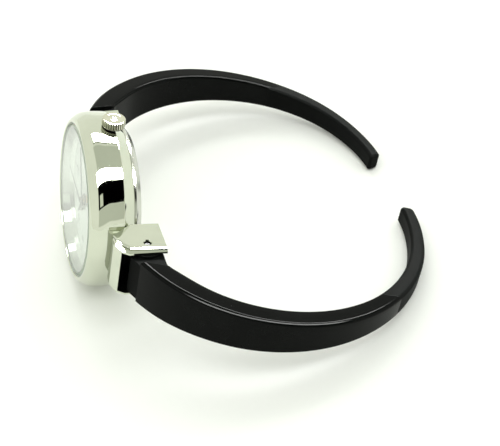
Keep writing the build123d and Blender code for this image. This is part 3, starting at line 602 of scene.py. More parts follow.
def copper_wire():
    """Enamelled copper: one turn beside the next along the coil."""
    t = Tree("coil_copper")
    a = radians(-45.0 + 90.0)
    x, y, z, r, ang = t.dial()
    u = t.math("ADD", t.math("MULTIPLY", x, cos(a)), t.math("MULTIPLY", y, sin(a)))
    jitter = t.math("MULTIPLY", t.noise(t.mm, 1.6, 2.0), 0.6)
    w = t.math("SINE", t.math("ADD", t.math("MULTIPLY", u, 2 * pi / 0.055), jitter))
    h = t.math("ABSOLUTE", w)
    # dark brown in the gaps between turns, full copper on each turn's crest: painted shade following the wire's bump
    col = t.ramp(t.remap(h, 0.0, 1.0, 0.0, 1.0), [(0.0, (0.16, 0.05, 0.02)), (0.35, (0.52, 0.21, 0.08)), (1.0, (0.78, 0.38, 0.17))])
    return t.set(base=col, metal=1.0, rough=t.remap(h, 0.0, 1.0, 0.35, 0.22), normal=t.bump(h, 0.012), coat=0.5, coat_rough=0.1)


def board():
    """Green laminate with copper tracks under the varnish and tinned pads."""
    t = Tree("board_green")
    x, y, z, r, ang = t.dial()
    tr = t.math("SINE", t.math("MULTIPLY", r, 2 * pi / 0.62))
    tr2 = t.math("SINE", t.math("MULTIPLY", ang, 46.0))
    track = t.math("MAXIMUM", t.remap(tr, 0.80, 0.88, 0.0, 1.0), t.math("MULTIPLY", t.remap(tr2, 0.90, 0.95, 0.0, 1.0), t.remap(r, 6.2, 6.25, 1.0, 0.0)))
    pad = t.remap(t.voronoi(t.combine(x, y, 0.0), 1.25), 0.12, 0.15, 1.0, 0.0)
    weave = t.noise(t.scale(t.mm, (9.0, 9.0, 9.0)), 1.0, 2.0)
    col = t.mix(t.remap(weave, 0.3, 0.7, 0.0, 1.0), (0.020, 0.115, 0.055), (0.035, 0.155, 0.075))
    col = t.mix(track, col, (0.10, 0.26, 0.10))
    col = t.mix(pad, col, (0.72, 0.70, 0.62))
    return t.set(base=col, metal=t.math("MULTIPLY", pad, 0.9), rough=t.remap(pad, 0, 1, 0.28, 0.22), spec=0.5,
                 normal=t.bump(t.math("MAXIMUM", track, pad), 0.02), coat=0.4, coat_rough=0.15)


def magnet():
    t = Tree("magnet_rotor")
    g = t.voronoi(t.mm, 16.0)
    n = t.noise(t.mm, 22.0, 4.0)
    col = t.mix(t.remap(g, 0.0, 0.6, 0.0, 1.0), (0.055, 0.055, 0.058), (0.13, 0.125, 0.12))
    return t.set(base=col, metal=0.6, rough=t.remap(n, 0.3, 0.7, 0.35, 0.55), normal=t.bump(n, 0.002))


def nickelled(name, base, rough=0.3):
    """Grained brass under nickel, with a pearled (spotted) finish."""
    t = Tree(name)
    x, y, z, r, ang = t.dial()
    spot = t.voronoi(t.combine(t.math("MULTIPLY", x, 1.15), t.math("MULTIPLY", y, 1.15), 0.0), 1.0)
    rings = t.math("SINE", t.math("MULTIPLY", spot, 70.0))
    g = t.noise(t.mm, 12.0, 3.0)
    col = t.mix(t.remap(rings, -1, 1, 0.0, 1.0), tuple(b * 0.93 for b in base), base)
    rr = t.math("ADD", t.remap(rings, -1, 1, rough - 0.06, rough + 0.06), t.remap(g, 0.3, 0.7, -0.02, 0.02))
    return t.set(base=col, metal=1.0, rough=rr, normal=t.bump(rings, 0.0006))


M_ARM = arm_coat()
M_DIAL = dial_lacquer()
M_GLASS = glass()
M_RUBBER = rubber("seal_rubber")
M_SEAL = nylon()
M_COPPER = copper_wire()
M_BOARD = board()
M_MAGNET = magnet()
M_PLATE = nickelled("plate_brass", (0.66, 0.60, 0.46))
M_HAND = brushed("hand_metal", (0.035, 0.042, 0.037), 0.45, 0.0005, (9.0, 1.2, 1.2), metal=0.6)
M_PRINT = plastic("dial_figures", (0.11, 0.13, 0.11), 0.38, 0.0008, 22.0, 0.08)
M_ACETAL = plastic("gear_plastic", (0.80, 0.78, 0.70), 0.36, sss=0.2)
M_HOLDER = plastic("holder_plastic", (0.80, 0.80, 0.77), 0.45, sss=0.1)
M_CORE = brushed("core_iron", (0.46, 0.47, 0.48), 0.36)
M_CHIP = plastic("chip_black", (0.018, 0.018, 0.019), 0.5, 0.004, 24.0)
M_CAN = turned("can_metal", (0.70, 0.70, 0.68), 0.18, 0.0004, 10.0)
D_THIRD = 0.08 * 72 / 2
D_FIFTH = 0.085 * 56 / 2
D_ROTOR = 0.075 * 48 / 2
P_THIRD = polar(D_THIRD, 30.0)
P_FIFTH = polar(D_FIFTH, -45.0)
P_ROTOR = polar(D_FIFTH + D_ROTOR, -45.0)
P_MIN = polar(0.09 * 48 / 2, 60.0)
P_SET = (0.0, P_MIN[1] + sqrt((0.09 * 56 / 2) ** 2 - P_MIN[0] ** 2))
P_BATT = polar(5.90, 200)
BRASS = (0.74, 0.57, 0.29)
M_BRASS0 = turned("wheel_brass", BRASS, 0.22, 0.0006, 15.0)
M_BRASS3 = turned("wheel_brass_third", BRASS, 0.22, 0.0006, 15.0, c=P_THIRD)
M_BRASSM = turned("wheel_brass_minute", BRASS, 0.22, 0.0006, 15.0, c=P_MIN)
M_BRASSS = turned("wheel_brass_setting", BRASS, 0.22, 0.0006, 15.0, c=P_SET)
M_BATT = turned("battery_steel", (0.66, 0.66, 0.64), 0.17, 0.0004, 7.0, c=P_BATT)

MATS = {
    "hinge_pin_12": M_PIN, "hinge_pin_6": M_PIN, "stem": M_STEEL, "crown_tube": M_STEEL, "sliding_pinion": M_STEEL,
    "bridge_screws": M_STEEL_FLAT, "clamp_screws": M_STEEL_FLAT, "coil_screws": M_STEEL_FLAT,
    "setting_lever": M_STEEL_FLAT, "yoke": M_STEEL_FLAT,
    "hinge_spring_12": M_SPRING, "hinge_spring_6": M_SPRING, "battery_clamp": M_SPRING,
    "crystal": M_GLASS, "crown_seal": M_RUBBER, "back_gasket": M_RUBBER, "crystal_gasket": M_SEAL,
    "dial": M_DIAL, "second_hand": M_HAND, "minute_hand": M_HAND, "hour_hand": M_HAND,
    "fourth_wheel": M_BRASS0, "centre_wheel": M_BRASS0, "cannon_pinion": M_BRASS0, "hour_wheel": M_BRASS0,
    "third_wheel": M_BRASS3, "minute_wheel": M_BRASSM, "setting_wheel": M_BRASSS,
    "main_plate": M_PLATE, "train_bridge": M_PLATE, "fifth_wheel": M_ACETAL, "coil_bobbin": M_ACETAL,
    "rotor": M_MAGNET, "movement_ring": M_HOLDER, "stator": M_CORE, "coil_core": M_CORE,
    "coil_winding": M_COPPER, "circuit_board": M_BOARD, "circuit_chip": M_CHIP, "quartz_can": M_CAN,
    "battery": M_BATT, "case_body": M_CASE, "case_back": M_BACK, "inner_ring": M_RING, "crown": M_CROWN,
    "arm_12": M_ARM, "arm_6": M_ARM,
}
for n, o in NODES.items():
    o.data.materials.clear()
    o.data.materials.append(MATS[n])
    o.data.polygons.foreach_set("use_smooth", [True] * len(o.data.polygons))
    o.data.set_sharp_from_angle(angle=radians(26))
    o.data.update()

# ------------------------------------------------------------------ finer pieces in place of CAD nodes
def moved(bm, f):
    for v in bm.verts:
        v.co = Vector(f(*v.co))
    bmesh.ops.recalc_face_normals(bm, faces=bm.faces)
    return bm


def on_crown(x, y, z):
    """Frame of a body turned about z -> dial frame, running out along the crown's axis."""
    return (x, z, CROWN_Z - y)


def swap_z(x, y, z):
    return (x, y, -z)


def loft_bm(rings):
    """Solid through rings of equal point count: first and last are closed with a cap."""
    bm = bmesh.new()
    vs = [[bm.verts.new(p) for p in r] for r in rings]
    n = len(vs[0])
    for a, b in zip(vs[:-1], vs[1:]):
        for i in range(n):
            bm.faces.new((a[i], a[(i + 1) % n], b[(i + 1) % n], b[i]))
    bm.faces.new(vs[0][::-1])
    bm.faces.new(vs[-1])
    bmesh.ops.recalc_face_normals(bm, faces=bm.faces)
    return bm


def bevelled(me, width, seg=3, angle=24.0, clamp=True):
    """Mesh with every sharp edge rounded."""
    o = bpy.data.objects.new("work", me)
    SCENE.collection.objects.link(o)
    b = o.modifiers.new("edge", "BEVEL")
    b.width = width
    b.segments = seg
    b.limit_method = "ANGLE"
    b.angle_limit = radians(angle)
    b.use_clamp_overlap = clamp
    bpy.context.view_layer.update()
    out = bpy.data.meshes.new_from_object(o.evaluated_get(bpy.context.evaluated_depsgraph_get()))
    bpy.data.objects.remove(o)
    return out


def even_normals(o, weight=80):
    w = o.modifiers.new("normals", "WEIGHTED_NORMAL")
    w.keep_sharp = True
    w.weight = weight
    return o


# case barrel, turned in one piece
BARREL = [(12.62, 0.02), (12.95, 0.22), (13.27, 0.60), (13.60, 1.10), (13.82, 1.70), (13.93, 2.40), (13.95, 3.20),
          (13.94, 4.20), (13.90, 5.12)]
prof = spline(BARREL, 7)
prof = [(12.36, 0.02), (12.46, 0.02), (12.56, 0.02)] + prof
prof += [(13.885, 5.15), (13.865, 5.175), (13.6, 5.452), (12.9, 6.163), (12.16, 6.90), (12.12, 6.945), (12.09, 6.975),
         (12.0, 7.08), (11.97, 7.095), (11.94, 7.10), (11.5, 7.10), (11.05, 7.10), (11.05, 6.9), (11.05, 2.95), (11.05, 2.75),
         (11.3, 2.75), (12.28, 2.75), (12.28, 2.6), (12.28, 0.3), (12.28, 0.10), (12.30, 0.06)]
shell = mesh_of(lathe_bm(prof, 384), "case_shell")
hole = mesh_of(moved(prism_bm(circle(0.98, n=48), 9.0, 16.0), on_crown), "hole")
shell = boolean(shell, [hole])
case_shell = place(shell, "case_shell", DIAL_M, "case", "case_body", M_CASE, 40.0)

# lug hoods: solid block with broad bevels on both plates, forked round the arm's end
HOOD_FOOT = [(2.93, 14.60), (2.85, 16.20), (3.55, 18.05), (4.75, 18.85), (10.55, 18.80), (10.42, 12.70), (7.30, 12.35),
             (5.20, 12.60), (3.40, 13.20)]
HOOD_LOW = [(2.90, 15.30), (3.05, 16.70), (3.70, 18.15), (4.80, 18.84), (10.54, 18.78), (10.40, 12.72), (6.00, 12.56)]
HOOD_STEP = [(2.98, 15.12), (3.32, 16.28), (4.00, 17.55), (4.90, 18.28), (10.50, 18.58), (10.38, 12.74), (6.01, 12.60)]
HOOD_TOP = [(3.00, 15.05), (3.535, 16.065), (4.25, 17.165), (5.06, 17.95), (10.415, 18.47), (10.325, 12.83), (6.03, 12.69)]


def hood_mesh():
    foot = mesh_of(prism_bm(HOOD_FOOT, -3.95, 3.95), "foot")
    caps = []
    for f in (lambda x, y, z: (x, y, z), swap_z):
        rings = [[(x, y, h) for x, y in o] for o, h in ((HOOD_LOW, 3.70), (HOOD_LOW, 3.95), (HOOD_STEP, 4.12),
                                                       (HOOD_STEP, 4.42), (HOOD_TOP, 4.60))]
        caps.append(mesh_of(moved(loft_bm(rings), f), "cap"))
    me = boolean(foot, caps, "UNION")
    me = bevelled(me, 0.04, 4, 16.0)
    tools = [prism_bm(circle(3.15, PIN, 128), -3.65, 3.65),
             prism_bm([(4.70, 16.30), (3.78, 17.30), (3.72, 18.40), (3.72, 19.50), (5.60, 21.00), (12.50, 21.00),
                       (12.50, 15.40), (8.15, 15.40)], -3.65, 3.65)]
    fan = [polar(1.2, 256.0, PIN)] + [polar(4.08, 256.0 + 36.0 * i / 6, PIN) for i in range(7)] + [polar(1.2, 292.0, PIN)]
    tools.append(prism_bm(fan, -1.18, -0.62))
    me = boolean(me, [mesh_of(t, "tool") for t in tools])
    tools = [prism_bm(circle(0.53, PIN, 64), -6.0, 6.0)]
    for f in (lambda x, y, z: (x, y, z), swap_z):
        tools.append(moved(lathe_bm([(0.0, 4.46), (0.53, 4.46), (0.56, 4.50), (0.68, 4.64), (0.0, 4.64)], 64, c=PIN), f))
    return boolean(me, [mesh_of(t, "tool") for t in tools])


for tag, flip in (("12", Matrix.Identity(4)), ("6", FLIP_Y)):
    h = place(hood_mesh(), "hood_" + tag, ARM_M @ flip, "case", "case_body", M_CASE, 30.0)
    even_normals(h)

# arms: one long tapered bar of bevelled section each, with a narrow neck and knuckle
ARM_OUT = [(55.73, 2.86), (55.81, 9.29), (54.58, 15.65), (52.06, 21.58), (48.32, 26.71), (43.31, 31.00), (37.59, 33.88),
           (31.18, 35.30), (24.70, 34.97), (18.66, 33.06), (13.05, 29.47), (8.59, 24.82), (5.45, 19.27), (5.05, 18.35)]
ARM_IN = [(53.67, 3.06), (53.65, 9.10), (52.41, 14.99), (49.99, 20.41), (46.46, 24.98), (41.80, 28.70), (36.62, 31.04),
          (30.94, 32.08), (25.31, 31.68), (20.13, 29.94), (15.28, 26.76), (11.38, 22.66), (10.30, 21.10), (10.15, 19.60),
          (10.15, 17.60)]
ARM_HALF = [(2.0, 4.20), (5.54, 3.94), (8.86, 3.65), (13.3, 3.33), (18.84, 3.03), (24.78, 2.74), (31.15, 2.42),
            (37.49, 2.11), (43.16, 1.85), (48.14, 1.66), (51.83, 1.50), (54.34, 1.37), (57.0, 1.22)]
DROP = 0.42
TIP_LINE = ((55.87, 7.77), (54.10, 7.20))
ROOT_LINE = ((4.60, 20.11), (12.60, 22.03))
out_at, out_len = spline(ARM_OUT, None)
in_at, in_len = spline(ARM_IN, None)
half_at, half_len = spline(ARM_HALF, None)
_hx = np.array([half_at(half_len * i / 600) for i in range(601)])


def half_width(x):
    return float(np.interp(x, _hx[:, 0], _hx[:, 1]))


def crossing(at, length, line, last=False):
    """Parameter where a curve crosses a straight line: the first place, or the last."""
    (ax, ay), (bx, by) = line
    g = lambda s: (at(s)[0] - ax) * (by - ay) - (at(s)[1] - ay) * (bx - ax)
    ss = [length * i / 400 for i in range(401)]
    spans = list(zip(ss[:-1], ss[1:]))
    for u, v in (spans[::-1] if last else spans):
        if g(u) * g(v) <= 0:
            for _ in range(40):
                m = (u + v) / 2
                if g(u) * g(m) <= 0:
                    v = m
                else:
                    u = m
            return (u + v) / 2
    raise ValueError("no crossing")


def section(o, i, cut, grow=0.0):
    """Bevelled section between an outer and an inner point; grow < 0 shrinks it for the ends."""
    d = np.array(i) - np.array(o)
    w = np.linalg.norm(d)
    d = d / w
    o2, i2 = np.array(o) - d * grow, np.array(i) + d * grow
    ho, hi = half_width(o[0]) + grow, half_width(i[0]) + grow
    hm = lambda t: ho + (hi - ho) * t
    w2 = w + 2 * grow
    t = cut / w2
    a, b = o2, i2
    t1, t2, k1, k2 = 0.52 * cut / w2, 1.48 * cut / w2, 0.52 * cut, 1.48 * cut
    # the outer corners are broken twice, first flat then steep; the inner ones once
    q = [(a, cut - ho - DROP), (a, (cut - ho) * 0.5), (a, 0.0), (a, (ho - cut) * 0.5), (a, ho - cut),
         (a + d * k1, hm(t1) - 0.48 * cut), (a + d * k2, hm(t2)),
         (a + d * w2 * 0.6, hm(0.6)), (b - d * cut, hm(1 - t)), (b, hi - cut), (b, (hi - cut) * 0.5), (b, 0.0),
         (b, (cut - hi) * 0.5), (b, cut - hi - DROP), (b - d * cut, -hm(1 - t) - DROP), (a + d * w2 * 0.6, -hm(0.6) - DROP),
         (a + d * k2, -hm(t2) - DROP), (a + d * k1, -(hm(t1) - 0.48 * cut) - DROP)]
    return [(p[0], p[1], z) for p, z in q]


def arm_blade_mesh(n=150, cut=0.42):
    so, si = crossing(out_at, out_len, TIP_LINE), crossing(in_at, in_len, TIP_LINE)
    eo, ei = crossing(out_at, out_len, ROOT_LINE, True), crossing(in_at, in_len, ROOT_LINE, True)
    rings = []
    fr = [0.0, 0.42 / (eo - so)] + [0.42 / (eo - so) + (1.0 - 0.42 / (eo - so)) * (k + 1) / n for k in range(n)]
    for k, f in enumerate(fr):
        o, i = out_at(so + (eo - so) * f), in_at(si + (ei - si) * f)
        rings.append(section(o, i, cut * (0.35 if k == 0 else 1.0), -cut if k == 0 else 0.0))
    return mesh_of(loft_bm(rings), "blade")


def neck_mesh():
    eo, ei = crossing(out_at, out_len, ROOT_LINE, True), crossing(in_at, in_len, ROOT_LINE, True)
    n = 24
    a = [tuple(out_at(eo - 1.1 + (out_len - eo + 1.1) * k / n)) for k in range(n + 1)]
    b = [tuple(in_at(ei - 1.1 + (in_len - ei + 1.1) * k / n)) for k in range(n + 1)]
    pts = [(x + 0.012, y - 0.008) for x, y in a] + [(x - 0.010, y + 0.006) for x, y in b[::-1]]
    me = bevelled(mesh_of(prism_bm(pts, -3.50, 3.00), "neck"), 0.08, 3, 50.0)
    knuckle = bevelled(mesh_of(prism_bm(circle(2.0, PIN, 128), -3.5, 3.5), "knuckle"), 0.10, 3, 40.0)
    me = boolean(me, [knuckle], "UNION")
    leg = [(PIN[0] + u * cos(radians(78)) - v * sin(radians(78)), PIN[1] + u * sin(radians(78)) + v * cos(radians(78)))
           for u, v in ((0, -0.25), (4.1, -0.25), (4.1, 0.25), (0, 0.25))]
    tools = [prism_bm(circle(2.12, PIN, 96), -1.30, 1.30), prism_bm(leg, -1.30, -0.50),
             prism_bm(circle(0.55, PIN, 64), -6.0, 6.0)]
    return boolean(me, [mesh_of(t, "tool") for t in tools])


for tag, body, flip in (("12", "arm_twelve", Matrix.Identity(4)), ("6", "arm_six", FLIP_Y)):
    blade = bevelled(arm_blade_mesh(), 0.13, 4, 14.0, False)
    o = place(blade, "arm_blade_" + tag, ARM_M @ flip, body, "arm_" + tag, M_ARM, 50.0)
    even_normals(o)
    o = place(neck_mesh(), "arm_neck_" + tag, ARM_M @ flip, body, "arm_" + tag, M_ARM, 30.0)
    even_normals(o)

# crystal, seal, inner ring and case back: turned at high resolution
me = mesh_of(lathe_bm([(0.0, 0.0), (6.0, 0.0), (11.5, 0.0), (11.62, 0.0), (11.67, 0.012), (11.70, 0.04), (11.98, 0.355), (12.01, 0.39), (12.02, 0.42),
                       (12.02, 0.9), (12.02, 1.08), (12.012, 1.11), (11.91, 1.212), (11.88, 1.22), (11.7, 1.22), (6.0, 1.22),
                       (0.0, 1.22)], 288), "crystal_disc")
place(me, "crystal_disc", DIAL_M, "case", "crystal", M_GLASS, 30.0)
me = mesh_of(lathe_bm([(12.05, 0.16), (12.08, 0.125), (12.15, 0.115), (12.22, 0.125), (12.25, 0.16), (12.255, 0.4), (12.255, 0.9),
                       (12.25, 1.18), (12.22, 1.215), (12.08, 1.215), (12.05, 1.18), (12.045, 0.9), (12.045, 0.4)], 288),
             "crystal_seal_ring")
place(me, "crystal_seal_ring", DIAL_M, "case", "crystal_gasket", M_SEAL, 60.0)
RING = rounded([(12.20, 1.24, 0.0), (12.20, 2.73, 0.05), (10.98, 2.73, 0.0), (10.98, 3.13, 0.04), (10.55, 3.13, 0.05),
                (11.04, 2.46, 0.15), (11.36, 1.30, 0.04), (11.44, 1.24, 0.03)], seg=3, sup=0.04)
place(mesh_of(lathe_bm(RING, 288), "inner_ring_turned"), "inner_ring_turned", DIAL_M, "case", "inner_ring",
      M_RING, 40.0)
BACKP = [(0.0, 7.60, 0.0), (10.05, 7.60, 0.0), (10.05, 6.50, 0.06), (10.92, 6.50, 0.06), (10.92, 6.72, 0.03), (10.64, 6.72, 0.02),
         (10.64, 7.00, 0.02), (10.92, 7.00, 0.03), (10.92, 7.12, 0.0), (11.92, 7.12, 0.04), (11.92, 7.46, 0.05), (11.80, 7.66, 0.10), (11.05, 8.32, 0.12),
         (10.80, 8.39, 0.06), (10.3, 8.40, 0.06), (9.55, 8.40, 0.02), (9.50, 8.37, 0.02), (9.30, 8.37, 0.02),
         (9.25, 8.40, 0.02), (0.0, 8.40, 0.0)]
place(mesh_of(lathe_bm(rounded(BACKP, closed=False, seg=3, sup=0.05), 288), "case_back_turned"), "case_back_turned", DIAL_M, "case",
      "case_back", M_BACK, 40.0)


# crown: fluted band between a plain lip and a flat shoulder, with a low dome
def crown_mesh():
    seg, nf = 600, 30
    p = [(0.41, 14.97, 0), (0.41, 14.74, 0), (1.26, 14.70, 0), (1.26, 14.06, 0), (1.30, 14.02, 0), (1.60, 14.02, 0),
         (1.70, 14.035, 0), (1.745, 14.07, 0), (1.755, 14.11, 0), (1.75, 14.15, 0), (1.73, 14.18, 0), (1.735, 14.20, 0),
         (1.80, 14.235, 0.6), (1.82, 14.29, 1), (1.82, 14.50, 1), (1.82, 14.80, 1), (1.82, 15.06, 1), (1.815, 15.15, 1),
         (1.79, 15.21, 0.9), (1.745, 15.265, 0.4), (1.69, 15.305, 0.1), (1.62, 15.325, 0), (1.50, 15.33, 0), (1.22, 15.33, 0),
         (1.185, 15.325, 0), (1.16, 15.312, 0), (1.13, 15.305, 0), (1.08, 15.302, 0), (0.92, 15.302, 0), (0.76, 15.302, 0),
         (0.71, 15.306, 0), (0.68, 15.316, 0), (0.65, 15.34, 0), (0.60, 15.395, 0), (0.52, 15.48, 0), (0.44, 15.555, 0),
         (0.38, 15.595, 0), (0.30, 15.618, 0), (0.22, 15.629, 0), (0.12, 15.635, 0), (0.0, 15.638, 0), (0.0, 14.97, 0)]
    wt = [q[2] for q in p]

    def mod(i, a):
        if not wt[i]:
            return 0.0
        u = (a * nf / (2 * pi)) % 1.0
        v = abs(u - 0.5) * 2          # 1 at a valley, 0 on a rib's middle
        d = max(0.0, (v - 0.42) / 0.58)
        return -wt[i] * (0.24 * d * d * (3 - 2 * d) + 0.012 * v * v)

    bm = lathe_bm([(q[0], q[1]) for q in p], seg, 0.0, mod)
    return mesh_of(moved(bm, on_crown), "crown_turned")


even_normals(place(crown_mesh(), "crown_turned", DIAL_M, "crown", "crown", M_CROWN, 45.0))

# hands: thin bars with a centre ridge and turned hubs
def hand_mesh(deg, length, tail, w_root, w_tip, z0, z1, boss, bore, bz0, bz1):
    ca, sa = cos(radians(deg)), sin(radians(deg))
    st = [(-tail, 0.32), (-tail * 0.5, 0.42), (0.0, 0.5), (length * 0.28, 0.46), (length * 0.55, 0.42),
          (length * 0.8, 0.5 * (0.42 + 0.5 * w_tip / w_root)), (length - 0.05, 0.5 * w_tip / w_root), (length, 0.38 * w_tip / w_root)]
    rings = []
    e = min(0.025, (z1 - z0) * 0.25)
    for x, k in st:
        w = w_root * k
        c = min(0.035, w * 0.3)
        sec = [(-w, z1 - e), (-w, z0 + e), (-w + c, z0 + 0.012), (0.0, z0), (w - c, z0 + 0.012), (w, z0 + e), (w, z1 - e), (w - c, z1),
               (-w + c, z1)]
        rings.append([(x * ca - y * sa, x * sa + y * ca, z) for y, z in sec])
    bar = mesh_of(loft_bm(rings), "bar")
    hub = mesh_of(lathe_bm([(0.0, bz0), (boss * 0.55, bz0), (boss * 0.62, bz0 + 0.01), (boss - 0.04, bz0 + 0.01), (boss, bz0 + 0.05),
                            (boss, bz1 - 0.03), (boss - 0.03, bz1), (0.0, bz1)], 96), "hub")
    me = boolean(bar, [hub], "UNION")
    return boolean(me, [mesh_of(prism_bm(circle(bore, n=48), bz0 - 1, bz1 + 1), "bore")])


for name, body, args in (
        ("second_hand", "second_hand", (1.5, 9.0, 2.6, 0.30, 0.14, 1.88, 2.00, 0.36, 0.11, 1.84, 2.12)),
        ("minute_hand", "minute_hand", (60.0, 8.3, 0.9, 0.80, 0.26, 2.24, 2.36, 0.62, 0.335, 2.22, 2.42)),
        ("hour_hand", "hour_hand", (305.0, 5.6, 0.9, 1.00, 0.34, 2.62, 2.74, 0.95, 0.635, 2.60, 2.82))):
    place(hand_mesh(*args), name + "_ridged", DIAL_M, body, name, M_HAND, 25.0)

# dial: domed edge, printed-style raised figures and a minute track
DIALP = rounded([(0.80, 3.15, 0.03), (0.80, 3.50, 0.02), (10.90, 3.50, 0.04), (10.90, 3.15, 0.06)], seg=3, sup=0.06)
dial_me = mesh_of(lathe_bm(DIALP, 288), "dial_disc")
feet = [mesh_of(prism_bm(circle(0.30, polar(8.45, a), 32), 3.45, 4.20), "foot") for a in (38, 172)]
place(boolean(dial_me, feet, "UNION"), "dial_disc", DIAL_M, "case", "dial", M_DIAL, 30.0)


def figure_mesh(text, size, depth):
    cu = bpy.data.curves.new("figure", "FONT")
    cu.body = text
    cu.size = size
    cu.extrude = depth / 2
    cu.bevel_depth = 0.0
    cu.resolution_u = 6
    cu.align_x = "CENTER"
    cu.align_y = "CENTER"
    o = bpy.data.objects.new("figure", cu)
    SCENE.collection.objects.link(o)
    bpy.context.view_layer.update()
    me = bpy.data.meshes.new_from_object(o.evaluated_get(bpy.context.evaluated_depsgraph_get()))
    bpy.data.objects.remove(o)
    bpy.data.curves.remove(cu)
    xs = [v.co.x for v in me.vertices]
    ys = [v.co.y for v in me.vertices]
    cx, cy = (min(xs) + max(xs)) / 2, (min(ys) + max(ys)) / 2
    me.transform(Matrix.Translation((-cx, -cy, 0)))
    return me


bm = bmesh.new()
for h in range(1, 13):
    me = figure_mesh(str(h), 2.15, 0.05)
    me.transform(Matrix.Diagonal((0.90, 1.0, 1.0, 1.0)))
    c = polar(8.15, 30.0 * h)
    # reading direction towards 3 o'clock, upright towards 12, facing the crystal
    me.transform(Matrix(((0, 1, 0, c[0]), (1, 0, 0, c[1]), (0, 0, -1, 3.150), (0, 0, 0, 1))))
    bm.from_mesh(me)
    bpy.data.meshes.remove(me)
bmesh.ops.remove_doubles(bm, verts=bm.verts, dist=1e-4)
bmesh.ops.recalc_face_normals(bm, faces=bm.faces)
place(mesh_of(bm, "dial_figures"), "dial_figures", DIAL_M, "case", None, M_PRINT, 30.0)
bm = bmesh.new()
for k in range(60):
    w, r0, r1 = (0.15, 9.45, 10.25) if k % 5 == 0 else (0.07, 9.80, 10.25)
    a = radians(6.0 * k)
    q = [(r0, -w / 2), (r1, -w / 2), (r1, w / 2), (r0, w / 2)]
    q = [(u * cos(a) - v * sin(a), u * sin(a) + v * cos(a)) for u, v in q]
    lo = [bm.verts.new((x, y, 3.16)) for x, y in q]
    hi = [bm.verts.new((x, y, 3.13)) for x, y in q]
    bm.faces.new(lo)
    bm.faces.new(hi[::-1])
    for i in range(4):
        bm.faces.new((lo[i], lo[(i + 1) % 4], hi[(i + 1) % 4], hi[i]))
bmesh.ops.recalc_face_normals(bm, faces=bm.faces)
place(mesh_of(bm, "minute_track"), "minute_track", DIAL_M, "case", None, M_PRINT, 30.0)

# ------------------------------------------------------------------ camera: the photograph's own
RV = Vector((2.21900963, -0.226558729, 0.331930952))
R = Matrix.Rotation(RV.length, 3, RV.normalized())
T = Vector((-29.3703880, -3.88885009, 208.138109)) * 0.952
C = -(R.transposed() @ T)
cam_data = bpy.data.cameras.new("camera")
cam_data.sensor_fit = "HORIZONTAL"
cam_data.sensor_width = 36.0
cam_data.lens = 1249.47 / 500.0 * 36.0
cam_data.clip_start = 0.01
cam_data.clip_end = 20.0
camera = bpy.data.objects.new("camera", cam_data)
SCENE.collection.objects.link(camera)
ROT = Matrix((AX, AY, AZ)).transposed()
axes = [ROT @ Vector(R[0]), -(ROT @ Vector(R[1])), -(ROT @ Vector(R[2]))]
loc = ARM_M @ C
cm = Matrix((axes[0], axes[1], axes[2])).transposed().to_4x4()
cm.translation = loc
camera.matrix_world = cm
SCENE.camera = camera

# ------------------------------------------------------------------ floor and light
def white_floor():
    t = Tree("floor_white")
    n = t.noise(t.mm, 0.02, 3.0)
    col = t.mix(t.remap(n, 0.3, 0.7, 0.0, 1.0), (0.955, 0.965, 0.95), (0.965, 0.975, 0.96))
    return t.set(base=col, metal=0.0, rough=0.75, spec=0.15)


bm = bmesh.new()
S, K = 3.0, 24
grid = [[bm.verts.new((-S + 2 * S * i / K, -S + 2 * S * j / K, 0.0)) for j in range(K + 1)] for i in range(K + 1)]
for i in range(K):
    for j in range(K):
        bm.faces.new((grid[i][j], grid[i + 1][j], grid[i + 1][j + 1], grid[i][j + 1]))
floor = bpy.data.objects.new("floor", mesh_of(bm, "floor"))
floor.data.materials.append(white_floor())
SCENE.collection.objects.link(floor)

world = bpy.data.worlds.new("studio")
SCENE.world = world
world.use_nodes = True
W = Tree("studio_holder")
W.nt = world.node_tree
for n in list(W.nt.nodes):
    W.nt.nodes.remove(n)
wout = W.nt.nodes.new("ShaderNodeOutputWorld")
tc = W.nt.nodes.new("ShaderNodeTexCoord")
sep = W.nt.nodes.new("ShaderNodeSeparateXYZ")
W.nt.links.new(tc.outputs["Generated"], sep.inputs[0])
dx, dy, dz = sep.outputs
# height angle in the upright plane across the case: 0 in front (-Y), 90 overhead, 180 behind
phi = W.math("DEGREES", W.math("ARCTAN2", dz, W.math("MULTIPLY", dy, -1.0)))


def window(v, a, b, s):
    up = W.remap(v, a - s, a + s, 0.0, 1.0, True)
    dn = W.remap(v, b - s, b + s, 1.0, 0.0, True)
    return W.math("MULTIPLY", up, dn)


sky = W.ramp(W.remap(phi, 0.0, 180.0, 0.0, 1.0), [(0.0, (1.07, 1.09, 1.00)), (0.58, (1.05, 1.07, 0.98)),
                                                  (0.74, (1.06, 1.08, 0.99)), (1.0, (1.04, 1.06, 0.97))])
lp = W.nt.nodes.new("ShaderNodeLightPath")
# share of the direction that points along the watch's own axis, towards the wrist
along = W.vec("DOT_PRODUCT", tc.outputs["Generated"], tuple(AX))
# the softboxes count fully in reflections and mildly in the light that falls on matt surfaces
gloss = W.remap(lp.outputs["Is Glossy Ray"], 0.0, 1.0, 0.074, 1.0)
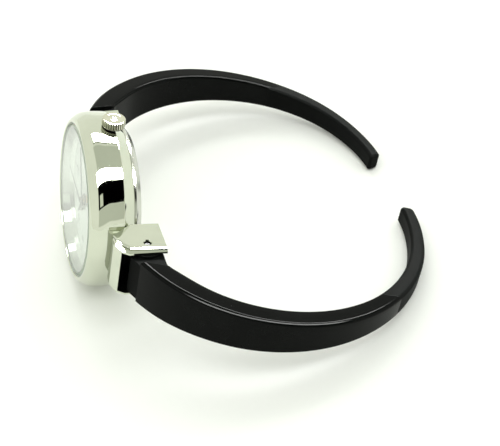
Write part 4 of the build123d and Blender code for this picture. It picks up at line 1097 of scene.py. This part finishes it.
# and mildly again when one polished face shows another one
gloss = W.math("MULTIPLY", gloss, W.remap(lp.outputs["Glossy Depth"], 1.4, 1.6, 1.0, 0.035))
PANELS = [
    # phi from, to, softness; axis share from, to, softness; colour; lit panel or not
    ((116.5, 131, 0.6), (-0.26, 0.62, 0.03), (52.0, 52.8, 51.2), True),
    ((113.5, 116.5, 0.6), (-0.36, 0.62, 0.03), (0.42, 0.44, 0.38), False),
    ((110.5, 113.5, 0.8), (-0.42, 0.62, 0.03), (0.95, 0.98, 0.88), False),
    ((75, 110.5, 1.0), (-0.46, 0.80, 0.03), (0.69, 0.72, 0.63), False),
    ((59, 75, 0.6), (-0.60, 0.62, 0.03), (52.0, 52.8, 51.2), True),
    ((27.5, 58, 0.5), (-0.60, 0.72, 0.01), (0.0, 0.0, 0.0), False),
    ((30, 45, 0.8), (-0.44, -0.19, 0.012), (0.84, 0.87, 0.76), False),
    ((5, 27, 0.8), (-0.58, 0.75, 0.04), (0.69, 0.72, 0.63), False),
]
# what stands low in front shows only on the polished ring behind the crystal
RING_BANDS = [
    ((14, 41, 1.5), (-0.95, -0.62, 0.02), (0.45, 0.49, 0.41)), ((41, 66, 1.5), (-0.95, -0.62, 0.02), (0.06, 0.07, 0.055)),
    ((67, 85, 1.5), (-0.95, -0.62, 0.02), (1.9, 1.95, 1.85)), ((86, 117, 1.5), (-0.95, -0.62, 0.02), (0.60, 0.64, 0.55)),
    ((118, 131, 1.5), (-0.95, -0.62, 0.02), (1.9, 1.95, 1.85)),
]
behind = W.math("MULTIPLY", W.math("GREATER_THAN", lp.outputs["Transmission Depth"], 0.5), lp.outputs["Is Glossy Ray"])
col = sky
for (pa, pb, ps), (xa, xb, xs), c in RING_BANDS:
    m = W.math("MULTIPLY", window(phi, pa, pb, ps), window(along, xa, xb, xs))
    col = W.mix(W.math("MULTIPLY", m, behind), col, c)
for (pa, pb, ps), (xa, xb, xs), c, lit in PANELS:
    m = W.math("MULTIPLY", window(phi, pa, pb, ps), window(along, xa, xb, xs))
    if lit:
        c = W.mix(gloss, (0.0, 0.0, 0.0), c)
    col = W.mix(m, col, c)
bgd = W.nt.nodes.new("ShaderNodeBackground")
bgc = W.nt.nodes.new("ShaderNodeBackground")
W.nt.links.new(col, bgd.inputs[0])
bgc.inputs[0].default_value = (1.0, 1.0, 1.0, 1.0)
bgd.inputs[1].default_value = 1.0
mixw = W.nt.nodes.new("ShaderNodeMixShader")
W.nt.links.new(lp.outputs["Is Camera Ray"], mixw.inputs[0])
W.nt.links.new(bgd.outputs[0], mixw.inputs[1])
W.nt.links.new(bgc.outputs[0], mixw.inputs[2])
W.nt.links.new(mixw.outputs[0], wout.inputs[0])
bpy.data.materials.remove(W.mat)

SCENE.view_settings.view_transform = "Standard"
SCENE.view_settings.look = "None"
SCENE.view_settings.exposure = 0.0
SCENE.view_settings.gamma = 1.0
